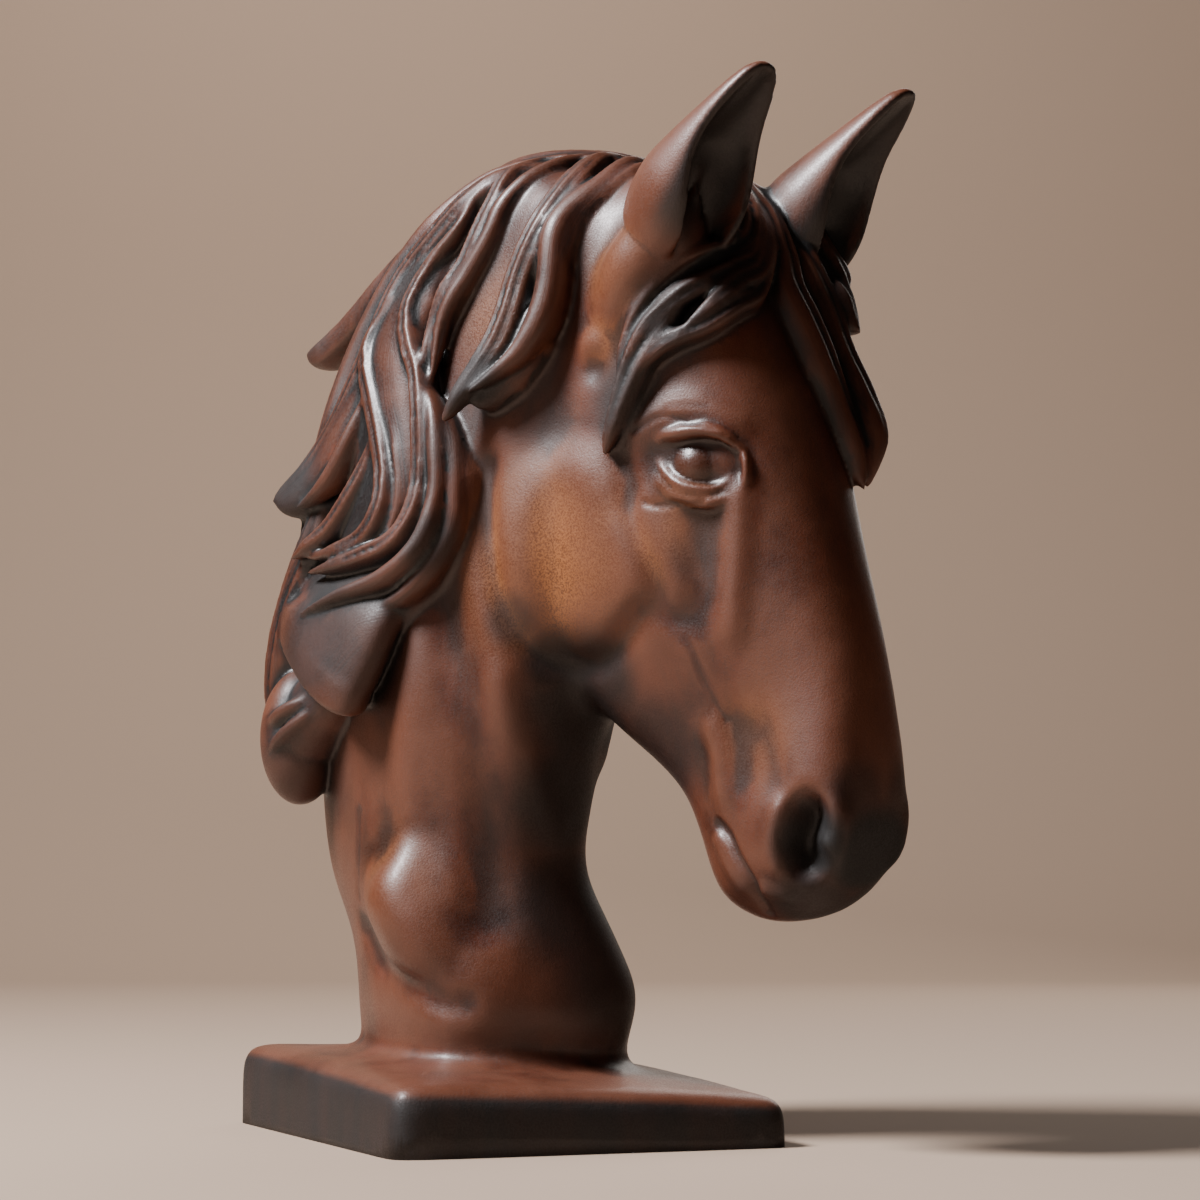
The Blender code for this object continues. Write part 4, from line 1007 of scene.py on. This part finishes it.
class Finish:
    """The nodes of one finish, added from left to right."""

    def __init__(self, tree):
        self.tree = tree
        self.count = 0

    def add(self, kind, **settings):
        made = self.tree.nodes.new(kind)
        row, column = divmod(self.count, NODES_IN_ROW)
        made.location = (column * NODE_SPACING[0], -row * NODE_SPACING[1])
        self.count += 1
        for key, value in settings.items():
            setattr(made, key, value)
        return made

    def link(self, out, into):
        self.tree.links.new(out, into)

    def attribute(self, name):
        made = self.add("ShaderNodeAttribute", attribute_name=name, attribute_type="GEOMETRY")
        return made.outputs["Fac"]

    def curve(self, value, low, high, to_low=0.0, to_high=1.0):
        """to_low at low, to_high at high, and smooth between."""
        made = self.add("ShaderNodeMapRange", interpolation_type="SMOOTHSTEP")
        self.link(value, made.inputs["Value"])
        for name, number in zip(("From Min", "From Max", "To Min", "To Max"), (low, high, to_low, to_high)):
            made.inputs[name].default_value = number
        return made.outputs["Result"]

    def math(self, operation, a, b):
        made = self.add("ShaderNodeMath", operation=operation)
        for socket, value in zip(made.inputs, (a, b)):
            if isinstance(value, (int, float)):
                socket.default_value = value
            else:
                self.link(value, socket)
        return made.outputs[0]

    def colour(self, share, first, second):
        """The first colour with this share of the second over it."""
        made = self.add("ShaderNodeMix", data_type="RGBA", blend_type="MIX")
        self.link(share, made.inputs["Factor"])
        for place, value in zip(MIX_COLOURS, (first, second)):
            if isinstance(value, tuple):
                made.inputs[place].default_value = (*value, 1.0)
            else:
                self.link(value, made.inputs[place])
        return made.outputs[MIXED_COLOUR]

    def noise(self, place, scale, detail, roughness, stretch=(1, 1, 1)):
        mapping = self.add("ShaderNodeMapping")
        mapping.inputs["Scale"].default_value = stretch
        self.link(place, mapping.inputs["Vector"])
        made = self.add("ShaderNodeTexNoise")
        self.link(mapping.outputs["Vector"], made.inputs["Vector"])
        made.inputs["Scale"].default_value = scale
        made.inputs["Detail"].default_value = detail
        made.inputs["Roughness"].default_value = roughness
        return made.outputs["Fac"]


def resin_colour(t, mark, cloud, streak, grain, line):
    """Coats of colour from the brown of the casting outwards, each with the share that it covers.

    A curve's numbers are where on its mark or pattern a coat starts and ends, then its share at each.
    """
    golden = t.math("MULTIPLY", mark["gilt"], t.curve(grain, 0.36, 0.6, 0.35, 0.95))
    strand = t.colour(t.curve(line, 0.38, 0.6), DARK_BROWN, BROWN)
    strand = t.colour(t.curve(cloud, 0.5, 0.7, 0, 0.5), strand, RUST)
    # Painted shade: near-black in the hair's hollows and along creases, less on bare skin.
    hollow = t.math("MULTIPLY", t.curve(mark["valley"], 0.48, 0.66, 0, 0.9), mark["hair"])
    lined = t.curve(mark["crease"], 0.52, 0.78, 0, 0.95)
    lined = t.math("MULTIPLY", lined, t.curve(mark["hair"], 0, 1, 0.45, 1))
    foot_side = t.math("MULTIPLY", mark["foot_side"], t.curve(streak, 0.3, 0.7, 0.98, 0.88))
    coats = (
        (t.curve(cloud, 0.36, 0.66), LIGHT_BROWN),
        (t.curve(streak, 0.42, 0.7, 0, 0.65), RUST),
        (t.curve(grain, 0.45, 0.7, 0, 0.25), DARK_BROWN),
        (golden, GOLD),
        # Rubbed lighter on broad ridges, and darker in broad hollows as painted shade.
        (t.curve(mark["valley"], 0.47, 0.15, 0, 0.45), LIGHT_BROWN),
        (t.curve(mark["valley"], 0.52, 0.85, 0, 0.55), DARK_BROWN),
        (t.math("MULTIPLY", mark["hair"], 0.85), strand),
        # Lighter on fine ridges, partly rubbed and partly painted highlight, then near-black in all that is
        # sunk or closed in, as painted shade with the casting's airbrushed dark: the hair's hollows,
        # creases, recesses and the ears' insides.
        (t.curve(mark["crease"], 0.47, 0.15, 0, 0.45), LIGHT_BROWN),
        (hollow, NEAR_BLACK),
        (lined, NEAR_BLACK),
        (t.curve(mark["recess"], 0.18, 0.62, 0, 0.95), NEAR_BLACK),
        (t.math("MULTIPLY", mark["inner_ear"], 0.9), NEAR_BLACK),
        (t.math("MULTIPLY", mark["eyeball"], 0.45), DARK_BROWN),
        (foot_side, NEAR_BLACK),
        # Near-black airbrushed paint, and painted shade under the jaw, down the neck and under the locks.
        (mark["paint_and_shade"], NEAR_BLACK),
    )
    colour = BROWN
    for share, coat in coats:
        colour = t.colour(share, colour, coat)
    return colour


def resin_relief(t, mark, place, grain, line):
    """The fine relief of the resin: lines along the hair, slight waves and a grain."""
    lines = t.math("MULTIPLY", t.math("MULTIPLY", line, mark["strands"]), HAIR_LINE_HEIGHT)
    waves = t.math("MULTIPLY", t.noise(place, *WAVES), WAVE_HEIGHT)
    grained = t.math("MULTIPLY", grain, t.curve(mark["hair"], 0, 1, *GRAIN_HEIGHTS))
    bump = t.add("ShaderNodeBump")
    bump.inputs["Strength"].default_value = RELIEF_STRENGTH
    bump.inputs["Distance"].default_value = RELIEF_DEPTH
    t.link(t.math("ADD", t.math("ADD", lines, waves), grained), bump.inputs["Height"])
    return bump.outputs["Normal"]


def resin(mark_names):
    """Satin resin in wood brown, darker in the recesses, creases and under the jaw as painted shade, and
    rubbed lighter on the ridges, partly as painted highlight.
    """
    material = bpy.data.materials.new("wood_brown_resin")
    material.use_nodes = True
    t = Finish(material.node_tree)
    shader = material.node_tree.nodes["Principled BSDF"]
    place = t.add("ShaderNodeTexCoord").outputs["Object"]
    mark = {name: t.attribute(name) for name in mark_names}
    cloud, streak, grain = (t.noise(place, *pattern) for pattern in (CLOUDS, STREAKS, GRAIN))
    line_place = t.add("ShaderNodeCombineXYZ")
    t.link(mark["flow"], line_place.inputs["X"])
    line = t.noise(line_place.outputs["Vector"], *HAIR_LINES)
    t.link(resin_colour(t, mark, cloud, streak, grain, line), shader.inputs["Base Color"])

    blackened = t.math("MAXIMUM", mark["paint_and_shade"], mark["foot_side"])
    rough = t.curve(cloud, 0.3, 0.7, *CLOUD_ROUGHNESS)
    rough = t.math("SUBTRACT", rough, t.math("MULTIPLY", mark["eyeball"], EYE_SMOOTHNESS))
    rough = t.math("ADD", rough, t.curve(grain, 0.35, 0.65, *GRAIN_ROUGHNESS))
    rough = t.math("ADD", rough, t.math("MULTIPLY", blackened, PAINT_ROUGHNESS))
    t.link(rough, shader.inputs["Roughness"])
    shader.inputs["Specular IOR Level"].default_value = SPECULAR
    t.link(t.curve(blackened, 0, 1, *CLEAR_COATS), shader.inputs["Coat Weight"])
    shader.inputs["Coat Roughness"].default_value = CLEAR_COAT_ROUGHNESS
    t.link(resin_relief(t, mark, place, grain, line), shader.inputs["Normal"])
    return material


# The camera, in metres, and the way it looks.
CAMERA_PLACE = Vector((0.9229, -0.3424, 0.0757))
CAMERA_AIM = Vector((-0.9228, 0.3751, 0.0884))
CAMERA_LENS = 96.0
CAMERA_FILM = 36
AIM_TURN = math.atan2(CAMERA_AIM.y, CAMERA_AIM.x)

# The floor, in metres: how far it lies flat towards the viewer and behind the bust, how it then curves up,
# its half width and half the length of its sheet.
FLOOR_IN_FRONT = 1.2
FLOOR_BEHIND = 1.5
BACKDROP_BEND = 0.7
FLOOR_HALF_WIDTH = 4
FLOOR_HALF_LENGTH = 2.6
FLOOR_STEPS = 80
FLOOR_COLOUR = (0.40, 0.29, 0.215)
FLOOR_ROUGHNESS = 0.8

# Lamps: their place as in_view takes it, width in metres, watts, colour and what they are aimed at.
BUST_MIDDLE = Vector((0, 0, 0.16))
BACKDROP = Vector((-2.4, 1.0, 0.5))
LAMPS = {
    "key_light": ((0.95, 1.3, 0.35), 0.5, 74, (0.97, 0.97, 1.0), BUST_MIDDLE),
    "fill_light": ((0.9, 0.5, 1.2), 1.2, 0.8, (1.0, 0.92, 0.85), BUST_MIDDLE),
    "wall_light": ((0.3, 1.5, -1.3), 1.0, 10, (1.0, 0.90, 0.80), BACKDROP),
    "back_light": ((-0.5, 0.8, -1.3), 1.0, 5, (1.0, 0.95, 0.9), BUST_MIDDLE),
}
ROOM_COLOUR = (0.72, 0.66, 0.60)
ROOM_STRENGTH = 0.035


def in_view(left, up, back):
    """A place from the origin, given as the viewer's left, up and towards the viewer, in metres."""
    ahead = Vector((math.cos(AIM_TURN), math.sin(AIM_TURN), 0))
    leftwards = Vector((-ahead.y, ahead.x, 0))
    return leftwards * left + Vector((0, 0, up)) - ahead * back


def pale_floor():
    """The floor's matt finish."""
    material = bpy.data.materials.new("pale_floor")
    material.use_nodes = True
    shader = material.node_tree.nodes["Principled BSDF"]
    shader.inputs["Base Color"].default_value = (*FLOOR_COLOUR, 1)
    shader.inputs["Roughness"].default_value = FLOOR_ROUGHNESS
    return material


def studio():
    """A pale floor that curves up into a backdrop behind the bust."""
    bm = bmesh.new()
    bmesh.ops.create_grid(bm, x_segments=2, y_segments=FLOOR_STEPS, size=1)
    for v in bm.verts:
        along = (v.co.y + 1) * FLOOR_HALF_LENGTH
        past_flat = along - FLOOR_BEHIND - FLOOR_IN_FRONT
        bend = min(max(past_flat / BACKDROP_BEND, 0), math.pi / 2)
        wall = max(past_flat - BACKDROP_BEND * math.pi / 2, 0)
        flat = min(along, FLOOR_BEHIND + FLOOR_IN_FRONT)
        ahead = flat + BACKDROP_BEND * math.sin(bend) - FLOOR_IN_FRONT
        v.co = (v.co.x * FLOOR_HALF_WIDTH, ahead, BACKDROP_BEND * (1 - math.cos(bend)) + wall)
    bmesh.ops.rotate(bm, verts=bm.verts, matrix=Matrix.Rotation(AIM_TURN - math.pi / 2, 3, "Z"))
    bmesh.ops.recalc_face_normals(bm, faces=bm.faces)
    mesh = bpy.data.meshes.new("studio_floor")
    bm.to_mesh(mesh)
    bm.free()
    mesh.materials.append(pale_floor())
    mesh.shade_smooth()
    floor = bpy.data.objects.new("studio_floor", mesh)
    bpy.context.scene.collection.objects.link(floor)


def lights():
    """Every lamp, and the soft light of the room."""
    for name, (place, width, watts, colour, aim) in LAMPS.items():
        light = bpy.data.lights.new(name, "AREA")
        light.shape = "DISK"
        light.size = width
        light.energy = watts
        light.color = colour
        obj = bpy.data.objects.new(name, light)
        obj.location = in_view(*place)
        obj.rotation_euler = (aim - in_view(*place)).to_track_quat("-Z", "Y").to_euler()
        bpy.context.scene.collection.objects.link(obj)
    world = bpy.data.worlds.new("soft_room")
    world.use_nodes = True
    background = world.node_tree.nodes["Background"]
    background.inputs["Color"].default_value = (*ROOM_COLOUR, 1)
    background.inputs["Strength"].default_value = ROOM_STRENGTH
    bpy.context.scene.world = world


def camera():
    """The camera, low and in front of the bust's right side."""
    data = bpy.data.cameras.new("camera")
    data.lens = CAMERA_LENS
    data.sensor_width = CAMERA_FILM
    obj = bpy.data.objects.new("camera", data)
    obj.location = CAMERA_PLACE
    obj.rotation_euler = CAMERA_AIM.to_track_quat("-Z", "Y").to_euler()
    bpy.context.scene.collection.objects.link(obj)
    bpy.context.scene.camera = obj


def main():
    bust = carved_surface()
    bust.data.materials.append(resin(MARKS))
    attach(bust, "root")
    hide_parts("horse_head_bust")
    studio()
    lights()
    camera()


main()
